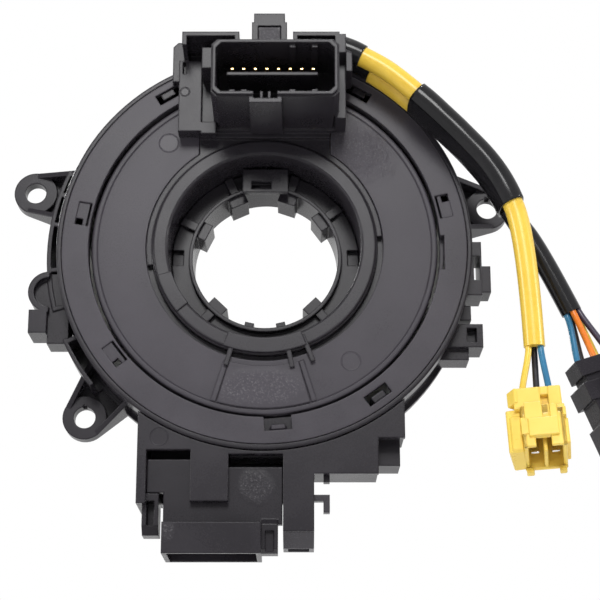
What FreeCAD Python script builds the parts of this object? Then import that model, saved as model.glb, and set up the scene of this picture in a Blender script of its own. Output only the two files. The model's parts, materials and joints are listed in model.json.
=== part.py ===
"""Steering clock spring: a fixed drum, a rotor that turns in it, and the flat cable between them.

Frame: millimetres, +Z up. The steering axis is the Y axis. The back faces of the three screw
ears lie in the plane y = 0, and the steering wheel is on the -Y side. A depth is a y value, so
a deeper face has the larger one. Radii and angles are taken in the XZ plane, from +X to +Z.
"""

import FreeCAD, Part
import math
import os
from FreeCAD import Vector

# Fits between pieces, how far moulded pieces run into each other, and how far a cutter runs past
fit_gap = 0.15
running_gap = 0.35
edge_break = 0.3
bite = 0.5
past = 1.0

# Drum of the stator
drum_r = 49.5
drum_depth = 18.0
drum_wall = 1.8
rim_wall = 1.15
rim_band = 5.4
band_step = 0.5
flange_reach = 0.7
flange_thick = 2.4
ear_proud = 0.4
seat_ledge = 1.3
seat_ledge_thick = 1.4
drum_front = -drum_depth
drum_bore_r = drum_r - drum_wall
drum_side_r = drum_r - band_step - fit_gap
stator_back = -ear_proud
flange_front = stator_back - flange_thick

# Rear plate of the stator
rear_thick = 2.0
stiffener_rise = 0.8
stiffener_wall = 1.2
stiffener_span = 40.0
stiffener_count = 6
rear_front = stator_back - rear_thick
rear_r = drum_bore_r - fit_gap
ledge_front = rear_front - seat_ledge_thick

# Front ring of the stator: hook windows, sunk flaps with a small hole, and a notch at the bore
ring_thick = 1.8
ring_width = 6.3
ring_r = drum_r - rim_wall - fit_gap
ring_bore_r = ring_r - ring_width
ring_back = drum_front + ring_thick
hook_angles = (59.9, 121.4, 305.9)
window_width = 6.2
window_margin = 1.7
window_depth = 2.7
window_outer_r = ring_r - window_margin
window_inner_r = window_outer_r - window_depth
hook_width = 3.4
hook_thick = 1.7
hook_rise = 1.2
hook_inner_r = window_outer_r - hook_thick
flap_angles = (169.8, 217.7, 12.8)
flap_width = 5.8
flap_depth = 3.2
flap_sunk = 0.45
flap_slit = 0.5
flap_hole = 1.7
flap_outer_r = ring_r - 2.6
notch_angle = 274.4
notch_width = 6.4
notch_reach = 3.2
slit_top = 2.3
slit_bottom = -6.1
slit_reach = 0.9
lip_wall = 1.0
lip_height = 1.6

# Screw ears: angle and reach beyond the drum, and the two root angles on the drum
ear_thick = 3.0
ear_floor = 1.6
ear_wall = 1.2
ear_boss_r = 5.3
ear_boss_rise = 0.5
ear_hole_r = 2.6
ear_slot_width = 1.0
ear_slot_reach = 1.5
ear_rib_height = 7.5
left_ear = (162.3, 10.65)
left_ear_roots = (153.0, 169.5)
right_ear = (14.5, 7.2)
right_ear_roots = (26.5, 8.0)
lower_ear = (222.0, 8.5)
lower_ear_roots = (212.0, 229.0)

# Outer pockets on the drum's left side and the thin wall below them
pocket_start = 156.0
pocket_end = 196.0
pocket_ribs = (156.6, 163.0, 171.6, 184.6, 195.4)
pocket_reach = 3.2
pocket_wall = 1.0
pocket_front = -11.0
low_wall_start = 204.5
low_wall_end = 219.0

# Clips around the drum, set off from its side
clip_front = -12.5
clip_back = -3.0
clip_step = 2.0
bow_r = 5.0
bow_wall = 1.4
bow_height = -10.0

# Housing under the drum, set off from the drum's lowest point
under = -drum_r
behind_drum = 0.6 * under
housing_front = -17.2
housing_back = -1.4
housing_wall = 1.6
housing_left = -29.0
cover_thick = 1.8
cover_back = housing_front + cover_thick
bar_width = 2.1
bar_end = under - 12.3
left_window_top = under + 0.1
tongue_left = -16.7
tongue_right = -8.0
tongue_end = under - 11.8
right_window_top = under - 0.9
header_left = 4.6
header_right = 11.7
header_end = under - 18.7
header_nose_end = under - 21.5
header_nose_depth = -9.0
header_floor = header_end + 8.0
header_back = housing_back - housing_wall - fit_gap
wing_right = 26.5
wing_end = under - 5.5
wing_inset = 0.9
step_right = 32.7
step_end = under + 2.9
step_layer_end = under - 2.5
step_layer_front = -11.0
catch_reach = 3.5
catch_height = 3.6
lever_end = under - 19.0
plate_step = bar_end + 2.9
lever_width = 3.8

# Connector shell that opens downwards
shell_left = -22.9
shell_right = -0.4
shell_end = under - 23.9
shell_front = -18.6
shell_back = -3.6
shell_wall = 1.1
shell_floor = under - 11.5
shell_rib = 0.9
shell_rib_depth = 2.6
inner_plate_front = -14.6
inner_plate_thick = 2.0
inner_plate_top = under - 1.7
inner_plate_step = 1.8
inner_plate_end = under - 16.8
column_pin_count = 8
column_pin_pitch = 2.5
pin_size = 0.64

# Hub: collar, tube and the flanges that carry the disc and run on the plate
collar_bore_r = 23.0
hub_wall = 2.0
journal_r = collar_bore_r + hub_wall
rear_bore_r = journal_r + fit_gap
collar_r = collar_bore_r + 3.9
collar_top_r = collar_bore_r + 5.15
collar_rise = 0.9
hub_flange_thick = 1.5
hub_shoulder_r = collar_bore_r + 4.4
hub_shoulder_thick = 1.5
collar_split_left = 190.0
collar_split_right = 5.0
wedge_start = 197.0
wedge_end = 219.0
panel_start = 249.0
panel_end = 292.0
panel_rise = 0.5
keeper_wall = 1.1
keeper_reach = 2.6

# Rotor disc with its chamfered rim and raised pad
disc_gap = 0.6
disc_r = ring_bore_r - disc_gap
disc_recess = 1.0
disc_thick = 2.0
disc_front = drum_front + disc_recess
disc_back = disc_front + disc_thick
disc_chamfer = 1.6
disc_chamfer_depth = 0.9
disc_skirt = 1.2
disc_bore_r = collar_top_r + fit_gap
hub_flange_r = disc_bore_r + 0.1 * (disc_r - disc_bore_r)
pad_rise = 0.5
pad_half_angle = 15.8
pad_inner_r = collar_bore_r + 6.6
pad_side_rib = 1.2
pad_side_gap = 1.4
shoulder_back = rear_front - running_gap
shoulder_front = shoulder_back - hub_shoulder_thick
flange_back = disc_back + hub_flange_thick

# Connector block on the hub
block_back = drum_front - running_gap
block_thick = 1.8
block_floor = block_back - block_thick
base_left = -15.8
base_right = 15.7
base_bottom = collar_bore_r - 0.5
base_top = math.sqrt((disc_r - 1.1) ** 2 - base_right ** 2)

# Wheel-side socket, set off from the hub's bore
socket_left = -12.2
socket_right = 17.6
socket_bottom = collar_bore_r + 5.8
socket_top = socket_bottom + 14.5
socket_front = -40.0
socket_wall = 1.1
socket_corner = 1.3
socket_lip = 0.8
socket_lip_inset = 0.35
socket_floor_thick = 2.8
socket_rib = 1.4
key_left = -3.4
key_right = 4.3
key_drop = 1.4
shelf_left = -8.8
shelf_right = 12.7
shelf_thick = 0.9
shelf_front = -33.4
wheel_pin_count = 8
wheel_pin_pitch = 2.73
wheel_pin_first = -7.5
wheel_pin_height = socket_bottom + 9.4
wheel_pin_front = -34.0

# Pillars, pockets and walls of the block, set off from the socket
pillar_front = -22.5
pillar_left = -20.8
pillar_width = 5.5
pillar_bottom = socket_bottom - 1.6
pillar_top = socket_top + 2.3
block_top = socket_top + 5.7
block_right = 19.4
side_wall = 2.6
side_wall_front = -27.0
side_wall_bottom = socket_bottom - 0.2
pocket_lip = -31.5
block_wall = 1.1
left_top_pocket = (-19.6, -6.0)
right_top_pocket = (6.8, 17.9)
top_bridge_thick = 1.0
rear_tab_width = 1.7
saddle_thick = 1.5

# Latch tower on top of the block
tower_left = -3.2
tower_right = 5.3
tower_top = block_top + 7.95
tower_bar = 3.3
tower_leg = 1.5
tower_inset = 0.5
tower_front = -25.0

# Cancel sleeve inside the hub
sleeve_bore_r = collar_bore_r - 5.3
sleeve_ring_wall = 0.9
sleeve_ring_r = sleeve_bore_r + sleeve_ring_wall
sleeve_front = -7.6
sleeve_ring_back = 4.5
sleeve_wall = 1.6
sleeve_web_front = -5.4
sleeve_web_thick = 2.4
sleeve_flange_r = collar_bore_r + 5.5
sleeve_flange_thick = 1.7
wide_claw_angles = (36.0, 71.0, 114.0, 154.0, 226.0, 314.0)
narrow_claw_angles = (257.0, 283.0)
wide_claw = 4.4
narrow_claw = 2.2
claw_reach = 2.3
side_recess_angles = (2.0, 178.0)
side_recess_width = 3.9
side_recess_depth = 1.8
tongue_half_width = 5.6
tongue_front = -10.6
tongue_thick = 1.6

# Flat cable, its sheets and its two lead blocks
cable_thick = 0.4
cable_half_turns = 5
cable_start_r = collar_bore_r + 5.0
cable_end_r = drum_bore_r - 2.5
cable_front = -11.2
sheet_thick = 0.25
sheet_gap = 0.3
front_sheet_width = 5.5
cable_back = rear_front - sheet_thick - sheet_gap
lead_block_width = 16.0
lead_block_step = 1.0

# Free leads: both follow one line in the XZ plane and part below the binding sleeve
lead_r = 2.45
front_lead_depth = -27.7
rear_lead_depth = -22.0
boot_wall = 0.3
binding_wall = 0.55
binding_gap = 0.15
hole_end_gap = 0.25
lead_hole_r = lead_r + binding_gap + boot_wall + fit_gap
wire_r = 0.82

LEAD_EXIT = (block_right - 1.3, block_top - 2.2)
LEAD_BEND = (LEAD_EXIT[0] + 5.2, LEAD_EXIT[1] - 2.3)
SHARED_ROUTE = [LEAD_EXIT, LEAD_BEND, (32.1, 39.0), (48.6, 22.3), (55.6, 13.2)]
FRONT_TAIL = [(60.9, -0.2), (61.8, -27.8)]
REAR_TAIL = [(58.7, 5.4), (64.3, -2.2), (71.6, -18.1)]

# Stretches of the leads that carry a sleeve, as lengths from the block
boot_from = 0.4
boot_to = 5.9
wrap_from = 8.7
wrap_to = 21.8
binding_from = 22.0
binding_to = 57.5

# Yellow plug, built hanging straight down and then turned
yellow_plug_at = (60.1, -28.5, -39.6)
yellow_plug_turn = (14.0, -15.0, -10.0)
yellow_half_width = 5.6
yellow_thick = 10.8
yellow_length = 15.4
yellow_rear_thick = 4.4
yellow_neck = 5.0
yellow_wall = 1.2
yellow_socket = 3.45
yellow_socket_offset = 2.3
yellow_tongue_rise = 0.8
yellow_lock_thick = 1.3

# Black plug, built hanging straight down and then turned
black_plug_at = (75.1, -26.6, -30.65)
black_plug_turn = (15.0, -3.3, -21.5)
black_half_width = 6.0
black_thick = 6.8
black_rear = 3.7
black_neck = 1.5
black_collar = 4.4
black_shaft = 5.4
black_nose = 8.0
black_wall = 1.1
black_back_reach = 1.7
black_length = black_rear + black_neck + black_collar + black_shaft + black_nose


def polar(radius, angle):
    """Point (x, z) at a radius and an angle in degrees."""
    return radius * math.cos(math.radians(angle)), radius * math.sin(math.radians(angle))


def revolve(profile):
    """Solid of a closed (radius, depth) profile turned about the steering axis."""
    points = [Vector(r, y, 0) for r, y in profile]
    solid = Part.Face(Part.makePolygon(points + points[:1])).revolve(Vector(), Vector(0, 1, 0), 360)
    if solid.Volume < 0:
        solid.reverse()
    return solid


def outline_face(outline, depth):
    """Flat face of a closed (x, z) outline at a depth."""
    points = [Vector(x, depth, z) for x, z in outline]
    return Part.Face(Part.makePolygon(points + points[:1]))


def slab(outline, front, back):
    """Solid of a closed (x, z) outline between two depths."""
    return outline_face(outline, front).extrude(Vector(0, back - front, 0))


def side_profile(outline, left, right):
    """Solid of a closed (y, z) outline between two x values."""
    points = [Vector(left, y, z) for y, z in outline]
    return Part.Face(Part.makePolygon(points + points[:1])).extrude(Vector(right - left, 0, 0))


def block(left, right, front, back, bottom, top):
    """Rectangular solid between three pairs of limits."""
    return Part.makeBox(right - left, back - front, top - bottom, Vector(left, front, bottom))


def drum(radius, front, back, centre=(0.0, 0.0)):
    """Cylinder along the steering axis between two depths."""
    return Part.makeCylinder(radius, back - front, Vector(centre[0], front, centre[1]), Vector(0, 1, 0))


def ring(inner_r, outer_r, front, back):
    """Flat ring between two radii and two depths."""
    return drum(outer_r, front, back).cut(drum(inner_r, front, back))


def arc(radius, start, end, depth):
    """Circular edge about the steering axis from one angle to another."""
    points = [polar(radius, a) for a in (start, 0.5 * (start + end), end)]
    return Part.Arc(*[Vector(x, depth, z) for x, z in points]).toShape()


def sector(inner_r, outer_r, start, end, front, back):
    """Part of a ring between two angles."""
    corners = [Vector(x, front, z) for x, z in (polar(outer_r, end), polar(inner_r, end),
                                                polar(outer_r, start), polar(inner_r, start))]
    wire = Part.Wire([arc(inner_r, start, end, front), Part.makeLine(corners[1], corners[0]),
                      arc(outer_r, end, start, front), Part.makeLine(corners[2], corners[3])])
    return Part.Face(wire).extrude(Vector(0, back - front, 0))


def spoke(inner_r, outer_r, angle, width, front, back):
    """Radial bar of a constant width at an angle."""
    bar = block(inner_r, outer_r, front, back, -0.5 * width, 0.5 * width)
    return bar.rotate(Vector(), Vector(0, 1, 0), -angle)


def spokes(inner_r, outer_r, angles, width, front, back):
    """Like radial bars at several angles."""
    return [spoke(inner_r, outer_r, angle, width, front, back) for angle in angles]


def fuse(first, others):
    """One solid from a solid and the ones that are moulded to it."""
    return first.fuse(list(others)).removeSplitter()


def tangent_point(point, centre, radius, side):
    """Point where a line from a point touches a circle, on the given side (+1 or -1)."""
    away_x, away_z = point[0] - centre[0], point[1] - centre[1]
    reach = math.hypot(away_x, away_z)
    turn = math.atan2(away_z, away_x) + side * math.acos(radius / reach)
    return centre[0] + radius * math.cos(turn), centre[1] + radius * math.sin(turn)


def ear_centre(ear):
    """Place of an ear's hole from its angle and its reach beyond the drum."""
    angle, reach = ear
    return polar(drum_r + reach, angle)


def ear_corners(ear, roots):
    """The two root points on the drum and the two points where the edges meet the boss."""
    centre = ear_centre(ear)
    first, second = (polar(drum_side_r, a) for a in roots)
    side = 1 if roots[1] > roots[0] else -1
    touches = [tangent_point(root, centre, ear_boss_r, way) for root, way in ((first, side), (second, -side))]
    return first, touches[0], touches[1], second


def edge_rib(root, touch, centre):
    """Wall on an ear's edge that is high at the drum and runs down to the boss."""
    along = Vector(touch[0] - root[0], 0, touch[1] - root[1])
    across = Vector(-along.z, 0, along.x).normalize() * ear_wall
    if across.dot(Vector(centre[0] - root[0], 0, centre[1] - root[1])) < 0:
        across = across * -1
    low = Vector(root[0], -ear_floor, root[1]) - Vector(along).normalize() * bite
    end = Vector(touch[0], 0, touch[1])
    points = [low, Vector(low.x, flange_front - ear_rib_height, low.z),
              Vector(end.x, -ear_thick - ear_boss_rise, end.z), Vector(end.x, -ear_floor, end.z)]
    return Part.Face(Part.makePolygon(points + points[:1])).extrude(across)


def ear(place, roots):
    """Screw ear: a sunk plate between two edge walls that run out to the boss."""
    centre = ear_centre(place)
    first, touch_first, touch_second, second = ear_corners(place, roots)
    boss = drum(ear_boss_r, -ear_thick - ear_boss_rise, 0, centre)
    plate = slab([first, touch_first, centre, touch_second, second], -ear_thick, 0)
    outline = outline_face([first, touch_first, touch_second, second], -ear_thick - past)
    pocket = outline.makeOffset2D(-ear_wall, 2).extrude(Vector(0, ear_thick + past - ear_floor, 0)).cut(boss)
    ribs = [edge_rib(first, touch_first, centre), edge_rib(second, touch_second, centre)]
    return [plate.cut(pocket), boss] + ribs


def ear_hole(place, slotted):
    """Screw hole, with the small relief slot that two of the ears have."""
    centre = ear_centre(place)
    hole = drum(ear_hole_r, -drum_depth, ear_thick, centre)
    if not slotted:
        return hole
    half = 0.5 * ear_slot_width
    top = centre[1] + ear_hole_r + ear_slot_reach - ear_slot_width
    return hole.fuse(block(centre[0] - half, centre[0] + half, -drum_depth, -0.5 * ear_thick, centre[1], top))


def case_section():
    """Profile of the drum wall: front rim, outside band, rear flange and the rear plate's ledge."""
    rim_r = drum_r - rim_wall
    band_r = drum_r - band_step
    band_end = drum_front + rim_band
    flange_r = drum_r + flange_reach
    ledge_r = drum_bore_r - seat_ledge
    return [(drum_bore_r, ring_back), (rim_r, ring_back), (rim_r, drum_front),
            (drum_r - edge_break, drum_front), (drum_r, drum_front + edge_break), (drum_r, band_end),
            (band_r, band_end), (band_r, flange_front), (flange_r, flange_front), (flange_r, stator_back),
            (drum_bore_r, stator_back), (drum_bore_r, rear_front), (ledge_r, rear_front),
            (ledge_r, ledge_front), (drum_bore_r, ledge_front)]


def left_pockets():
    """Thin outer wall on the drum's left with the ribs and the floor between them."""
    outer_r = drum_r + pocket_reach
    pieces = [sector(outer_r - pocket_wall, outer_r, pocket_start, pocket_end, pocket_front, stator_back),
              sector(drum_side_r, outer_r, pocket_start, pocket_end, flange_front, stator_back)]
    return pieces + spokes(drum_side_r, outer_r - 0.5 * pocket_wall, pocket_ribs, pocket_wall, pocket_front,
                           stator_back)


def low_wall():
    """Thin wall that stands off the drum between the left clip and the lower ear."""
    outer_r = drum_r + pocket_reach
    rib_angle = low_wall_start + 1.0
    return [sector(outer_r - pocket_wall, outer_r, low_wall_start, low_wall_end, clip_front, stator_back),
            sector(drum_side_r, outer_r, low_wall_start, low_wall_end, flange_front, stator_back),
            spoke(drum_side_r, outer_r - 0.5 * pocket_wall, rib_angle, pocket_wall, clip_front, stator_back)]


def left_clip():
    """Half-round bow with its arm, the block below it and the leg that steps in to the drum."""
    side = -drum_r
    bow_x = side - 2.1
    bow = drum(bow_r, clip_front, clip_back, (bow_x, bow_height)).cut(
        drum(bow_r - bow_wall, clip_front - past, clip_front + clip_step, (bow_x, bow_height)))
    bow = bow.common(block(bow_x - bow_r, bow_x, clip_front, clip_back, bow_height - bow_r,
                           bow_height + bow_r))
    arm = block(bow_x, side + 3.0, clip_front + clip_step, clip_back, bow_height - bow_r, bow_height + bow_r)
    foot = block(side - 6.7, side - 2.4, clip_front, clip_back, bow_height - 10.2, bow_height - 4.5)
    leg = block(side - 2.4, side + 2.7, clip_front + clip_step, clip_back, bow_height - 12.4,
                bow_height - 4.5)
    return [bow, arm, foot, leg]


def right_clips():
    """Upper open loop, the small bump and the lower loop with its blind window."""
    side = drum_r
    upper = block(side - 1.7, side + 2.6, clip_front, clip_back, -10.9, 2.5).cut(
        block(side + 0.7, side + 2.1, clip_front - past, clip_back + past, -7.1, -1.1))
    stop = block(side + 2.5, side + 4.9, clip_front + clip_step, clip_back, -9.6, -3.0)
    bump = block(side - 4.0, side - 0.1, clip_front + clip_step, clip_back, -16.6, -13.0)
    lower = block(side - 7.5, side + 2.4, clip_front, clip_back, -23.8, -18.1).cut(
        block(side - 1.4, side + 0.9, clip_front - past, clip_front + 3.0, -22.5, -19.1))
    heel = block(side - 8.5, side - 0.9, clip_front + clip_step, clip_back, -26.4, -23.4)
    return [upper, stop, bump, lower, heel]


def stator_case():
    """Drum wall moulded with its ears, outer pockets, clips and the hooks for the front ring."""
    shafts = spokes(hook_inner_r, drum_bore_r + bite, hook_angles, hook_width, ring_back, ledge_front)
    tips = spokes(hook_inner_r, window_outer_r - fit_gap, hook_angles, hook_width, ring_back - hook_rise,
                  ring_back + past)
    outside = [piece.cut(drum(drum_bore_r + bite, drum_front, past)) for piece in left_clip() + right_clips()]
    ears = ear(left_ear, left_ear_roots) + ear(right_ear, right_ear_roots) + ear(lower_ear, lower_ear_roots)
    case = fuse(revolve(case_section()), ears + left_pockets() + low_wall() + outside)
    case = fuse(case, shafts + tips)
    holes = [ear_hole(left_ear, False), ear_hole(right_ear, True), ear_hole(lower_ear, True)]
    half = 0.5 * lead_block_width + fit_gap
    doorway = block(-half, half, cable_front - lead_block_step - fit_gap, cable_back - lead_block_step,
                    under - pocket_reach, under + drum_wall + pocket_reach)
    return case.cut([doorway] + holes)


def ring_flap(angle):
    """Cutters of one sunk flap: its shallow recess, its small hole and the slit along one end."""
    inner_r = flap_outer_r - flap_depth
    recess = spoke(inner_r, flap_outer_r, angle, flap_width, drum_front - past, drum_front + flap_sunk)
    end_angle = math.degrees((0.5 * flap_width - 0.5 * flap_hole) / flap_outer_r)
    hole = spoke(flap_outer_r - flap_hole, flap_outer_r, angle + end_angle, flap_hole, drum_front - past,
                 ring_back + past)
    slit = spoke(inner_r, inner_r + flap_slit, angle, flap_width, drum_front - past, ring_back + past)
    return [recess, hole, slit]


def front_ring():
    """Cover ring with hook windows, sunk flaps, the notch and slit at its bore, and a lip behind."""
    plate = ring(ring_bore_r, ring_r, drum_front, ring_back)
    lip = ring(ring_bore_r, ring_bore_r + lip_wall, ring_back, ring_back + lip_height)
    windows = spokes(window_inner_r, window_outer_r, hook_angles, window_width, drum_front - past,
                     ring_back + past)
    notch = spoke(ring_bore_r - past, ring_bore_r + notch_reach, notch_angle, notch_width, drum_front - past,
                  ring_back + lip_height + past)
    slit = block(ring_bore_r - 2 * past, ring_bore_r + slit_reach, drum_front - past, ring_back + past,
                 slit_bottom, slit_top)
    flaps = [cutter for angle in flap_angles for cutter in ring_flap(angle)]
    return fuse(plate, [lip]).cut(windows + [notch, slit] + flaps)


def rear_plate():
    """Ring that closes the drum's back, with a broken rib on it."""
    plate = ring(rear_bore_r, rear_r, rear_front, stator_back)
    inner_r = sleeve_flange_r + 0.5 * (rear_r - sleeve_flange_r)
    pitch = 360.0 / stiffener_count
    ribs = [sector(inner_r, inner_r + stiffener_wall, i * pitch, i * pitch + stiffener_span, stator_back,
                   stator_back + stiffener_rise) for i in range(stiffener_count)]
    return fuse(plate, ribs)


def comb_outline():
    """Outline of the housing cover: top band, bar, tongue, header face, wing and step."""
    bar_right = housing_left + bar_width
    return [(housing_left, behind_drum), (housing_left, bar_end), (bar_right, bar_end),
            (bar_right, left_window_top), (tongue_left, left_window_top), (tongue_left, tongue_end),
            (tongue_right, tongue_end), (tongue_right, right_window_top), (header_left, right_window_top),
            (header_left, header_end), (header_right, header_end), (header_right, wing_end),
            (wing_right, wing_end), (wing_right, step_end), (step_right, step_end), (step_right, behind_drum)]


def drum_clearance():
    """The drum's outside with a fit gap, taken out of what is fixed beside it."""
    side_r = drum_r + fit_gap
    flange_r = side_r + flange_reach
    step = flange_front - fit_gap
    return revolve([(0, drum_front - 5 * past), (side_r, drum_front - 5 * past), (side_r, step),
                    (flange_r, step), (flange_r, 5 * past), (0, 5 * past)])


def housing_cover():
    """Stepped cover plate on the housing's front."""
    return slab(comb_outline(), housing_front, cover_back).cut(drum_clearance())


def connector_housing():
    """Walls and back of the housing under the drum, with the hollow wing, its catch and the side bracket."""
    bar_right = housing_left + bar_width
    back_front = housing_back - housing_wall
    left_wall = block(housing_left, bar_right, cover_back, housing_back, bar_end, behind_drum)
    back = block(housing_left, header_right, back_front, housing_back, bar_end + 2.3, behind_drum)
    floor = wing_end + wing_inset
    wing = block(header_right, wing_right, cover_back, housing_back, floor, behind_drum).cut(
        block(header_right + housing_wall, wing_right - housing_wall, cover_back - past, back_front,
              floor + housing_wall, behind_drum - past))
    step = block(wing_right, step_right, cover_back, housing_back, step_end + wing_inset, behind_drum)
    layer = block(wing_right - housing_wall, step_right - wing_inset, step_layer_front, housing_back,
                  step_layer_end, step_end + 2.0)
    catch = block(header_right + 2.2, header_right + catch_height, cover_back + past, cover_back + catch_reach,
                  floor - 2.4, floor + bite)
    lever_left = housing_left + 1.2
    lever_top = plate_step - fit_gap
    lever = side_profile([(cover_back + past, lever_top), (cover_back + past, lever_end + 2.0),
                          (cover_back + 3.0, lever_end), (cover_back + 8.0, lever_end),
                          (cover_back + 8.0, lever_top)], lever_left, lever_left + lever_width)
    slot = block(lever_left + past, lever_left + lever_width - past, cover_back, cover_back + 5.0,
                 lever_end + 2.0, bar_end + past)
    shelf = block(housing_left, lever_left + lever_width, cover_back + 4.0, housing_back, bar_end + 1.5,
                  bar_end + 4.5)
    return fuse(left_wall, [back, wing, step, layer, catch, lever.cut(slot), shelf]).cut(drum_clearance())


def column_socket():
    """Connector shell that opens downwards, moulded with the plate seen in the cover's windows."""
    plate_left = housing_left + bar_width + fit_gap
    plate_right = header_left - fit_gap
    right_top = inner_plate_top - inner_plate_step
    plate_back = inner_plate_front + inner_plate_thick
    plate = slab([(plate_left, inner_plate_top), (plate_left, plate_step), (shell_left, plate_step),
                  (shell_left, inner_plate_end), (plate_right, inner_plate_end), (plate_right, right_top),
                  (tongue_left, right_top), (tongue_left, inner_plate_top)], inner_plate_front, plate_back)
    shell = block(shell_left, shell_right, shell_front, shell_back, shell_end, shell_floor)
    shell = shell.cut(block(shell_left - past, shell_right + past, shell_front - past, inner_plate_front,
                            inner_plate_end, shell_floor + past))
    cavity = block(shell_left + shell_wall, shell_right - shell_wall, shell_front + shell_wall,
                   shell_back - shell_wall, shell_end - past, shell_floor - 2 * past)
    cavity = cavity.cut(block(shell_left, shell_right, shell_front, inner_plate_front + shell_wall,
                              inner_plate_end - shell_wall, shell_floor))
    width = shell_right - shell_left
    rib_front = shell_front + 0.5 * shell_wall
    ribs = [block(shell_left + share * width, shell_left + share * width + shell_rib, rib_front,
                  shell_front + shell_wall + shell_rib_depth, shell_end + past, inner_plate_end - bite)
            for share in (0.1, 0.42, 0.6)]
    latch_right = header_left - 1.2
    latch = side_profile([(cover_back, inner_plate_end), (cover_back, shell_end + 1.4),
                          (cover_back + 2.0, shell_end + 0.6), (cover_back + 6.0, shell_end + 0.6),
                          (cover_back + 6.0, shell_floor - past), (plate_back, shell_floor - past)],
                         shell_right, latch_right)
    groove = block(shell_right + 0.9, latch_right - 0.9, cover_back - past, cover_back + 1.2, shell_end - past,
                   inner_plate_end - 1.5)
    seat = block(tongue_left + past, tongue_right - past, cover_back, inner_plate_front, tongue_end + past,
                 right_top - past)
    return fuse(fuse(plate, [shell, latch, seat]).cut([cavity, groove]), ribs)


def row_of_pins(count, first, pitch, make):
    """Compound of like pins, one solid each, from a function that makes one at a place."""
    return Part.makeCompound([make(first + i * pitch) for i in range(count)])


def column_pins():
    """Contacts of the column-side connector, standing down from the shell's floor."""
    half = 0.5 * pin_size
    centre = 0.5 * (shell_left + shell_right)
    first = centre - 0.5 * (column_pin_count - 1) * column_pin_pitch
    middle = 0.5 * (shell_front + shell_back)
    return row_of_pins(column_pin_count, first, column_pin_pitch, lambda x: block(
        x - half, x + half, middle - half, middle + half, shell_end + 3 * past, shell_floor - 2 * past))


def switch_header():
    """Narrow header behind the cover's right block, with the sloped nose and a socket behind it."""
    body = side_profile([(cover_back, right_window_top), (cover_back, header_end),
                         (header_nose_depth, header_nose_end), (header_back, header_nose_end),
                         (header_back, right_window_top)], header_left, header_right)
    cavity = block(header_left + shell_wall, header_right - shell_wall, header_nose_depth + 0.4,
                   header_back - shell_wall, header_nose_end - past, header_floor)
    hook = block(header_right, header_right + catch_height, cover_back + past, cover_back + catch_reach,
                 header_end + 4.7, header_end + 8.8).cut(
        block(header_right - past, header_right + 0.6 * catch_height, cover_back, cover_back + 2 * catch_reach,
              header_end + 4.0, header_end + 7.4))
    return fuse(body, [hook]).cut([cavity, drum_clearance()])


def switch_pins():
    """Two contacts in the narrow header."""
    half = 0.5 * pin_size
    middle = 0.5 * (header_left + header_right)
    depth = 0.5 * (header_nose_depth + header_back)
    first = middle - 0.5 * column_pin_pitch
    return row_of_pins(2, first, column_pin_pitch, lambda x: block(
        x - half, x + half, depth - half, depth + half, header_floor - 5 * past, header_floor))


def stator_lead_block():
    """Moulded block in the drum's lower doorway that takes the cable's outer end."""
    half = 0.5 * lead_block_width
    return block(-half, half, cable_front - lead_block_step, cable_back - lead_block_step - fit_gap,
                 under - flange_reach, under + drum_wall + 2.2)


def rear_slide_sheet():
    """Low-friction film that lies on the rear plate."""
    return ring(hub_shoulder_r + 1.0, drum_bore_r - seat_ledge - 1.9, rear_front - sheet_thick, rear_front)


def half_turns(side):
    """Edges of one side of the cable: half circles whose centre and radius step outwards together."""
    edges = []
    step = (cable_end_r - cable_start_r) / (2 * cable_half_turns)
    radius = cable_start_r + side * 0.5 * cable_thick + step
    centre = -step
    for turn in range(cable_half_turns):
        way = 1 if turn % 2 == 0 else -1
        start = Vector(0, cable_front, centre + way * radius)
        middle = Vector(way * radius, cable_front, centre)
        end = Vector(0, cable_front, centre - way * radius)
        edges.append(Part.Arc(start, middle, end).toShape())
        centre += way * step
        radius += step
    return edges


def flat_cable():
    """Spiral flat cable that winds up and unwinds as the rotor turns."""
    inner, outer = half_turns(-1), half_turns(1)
    ends = [Part.makeLine(outer[0].Vertexes[0].Point, inner[0].Vertexes[0].Point),
            Part.makeLine(inner[-1].Vertexes[-1].Point, outer[-1].Vertexes[-1].Point)]
    wire = Part.Wire(Part.__sortEdges__(inner + outer + ends))
    return Part.Face(wire).extrude(Vector(0, cable_back - cable_front, 0))


def rotor_disc():
    """Recessed disc with a chamfered rim, the hub's notch cut out and the plain raised pad below it."""
    face_r = disc_r - disc_chamfer
    disc = revolve([(disc_bore_r, disc_front), (face_r, disc_front),
                    (disc_r, disc_front + disc_chamfer_depth), (disc_r, disc_back + disc_skirt), (disc_r - disc_skirt, disc_back + disc_skirt),
                    (disc_r - disc_skirt, disc_back), (disc_bore_r, disc_back)])
    notch = block(base_left - fit_gap, base_right + fit_gap, disc_front - past, disc_back + past,
                  base_bottom - 5 * past, base_top + fit_gap)
    bottom = 270.0
    pad = sector(pad_inner_r, face_r, bottom - pad_half_angle, bottom + pad_half_angle, disc_front - pad_rise,
                 disc_front)
    sides = [bottom + way * (pad_half_angle + pad_side_gap) for way in (-1, 1)]
    ribs = spokes(pad_inner_r, face_r, sides, pad_side_rib, disc_front - 0.5 * pad_rise, disc_front)
    return fuse(disc.cut(notch), [pad] + ribs)


def hub_section():
    """Profile of the collar, the tube and the flanges that carry the disc and run on the plate."""
    collar_front = disc_front - collar_rise
    hub_end = stator_back + running_gap - fit_gap
    return [(collar_bore_r, collar_front + edge_break), (collar_bore_r + edge_break, collar_front),
            (collar_r, disc_front - fit_gap), (collar_r, disc_back), (hub_flange_r, disc_back),
            (hub_flange_r, flange_back), (journal_r, flange_back), (journal_r, shoulder_front),
            (hub_shoulder_r, shoulder_front), (hub_shoulder_r, shoulder_back), (journal_r, shoulder_back),
            (journal_r, hub_end), (collar_bore_r, hub_end)]


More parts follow.
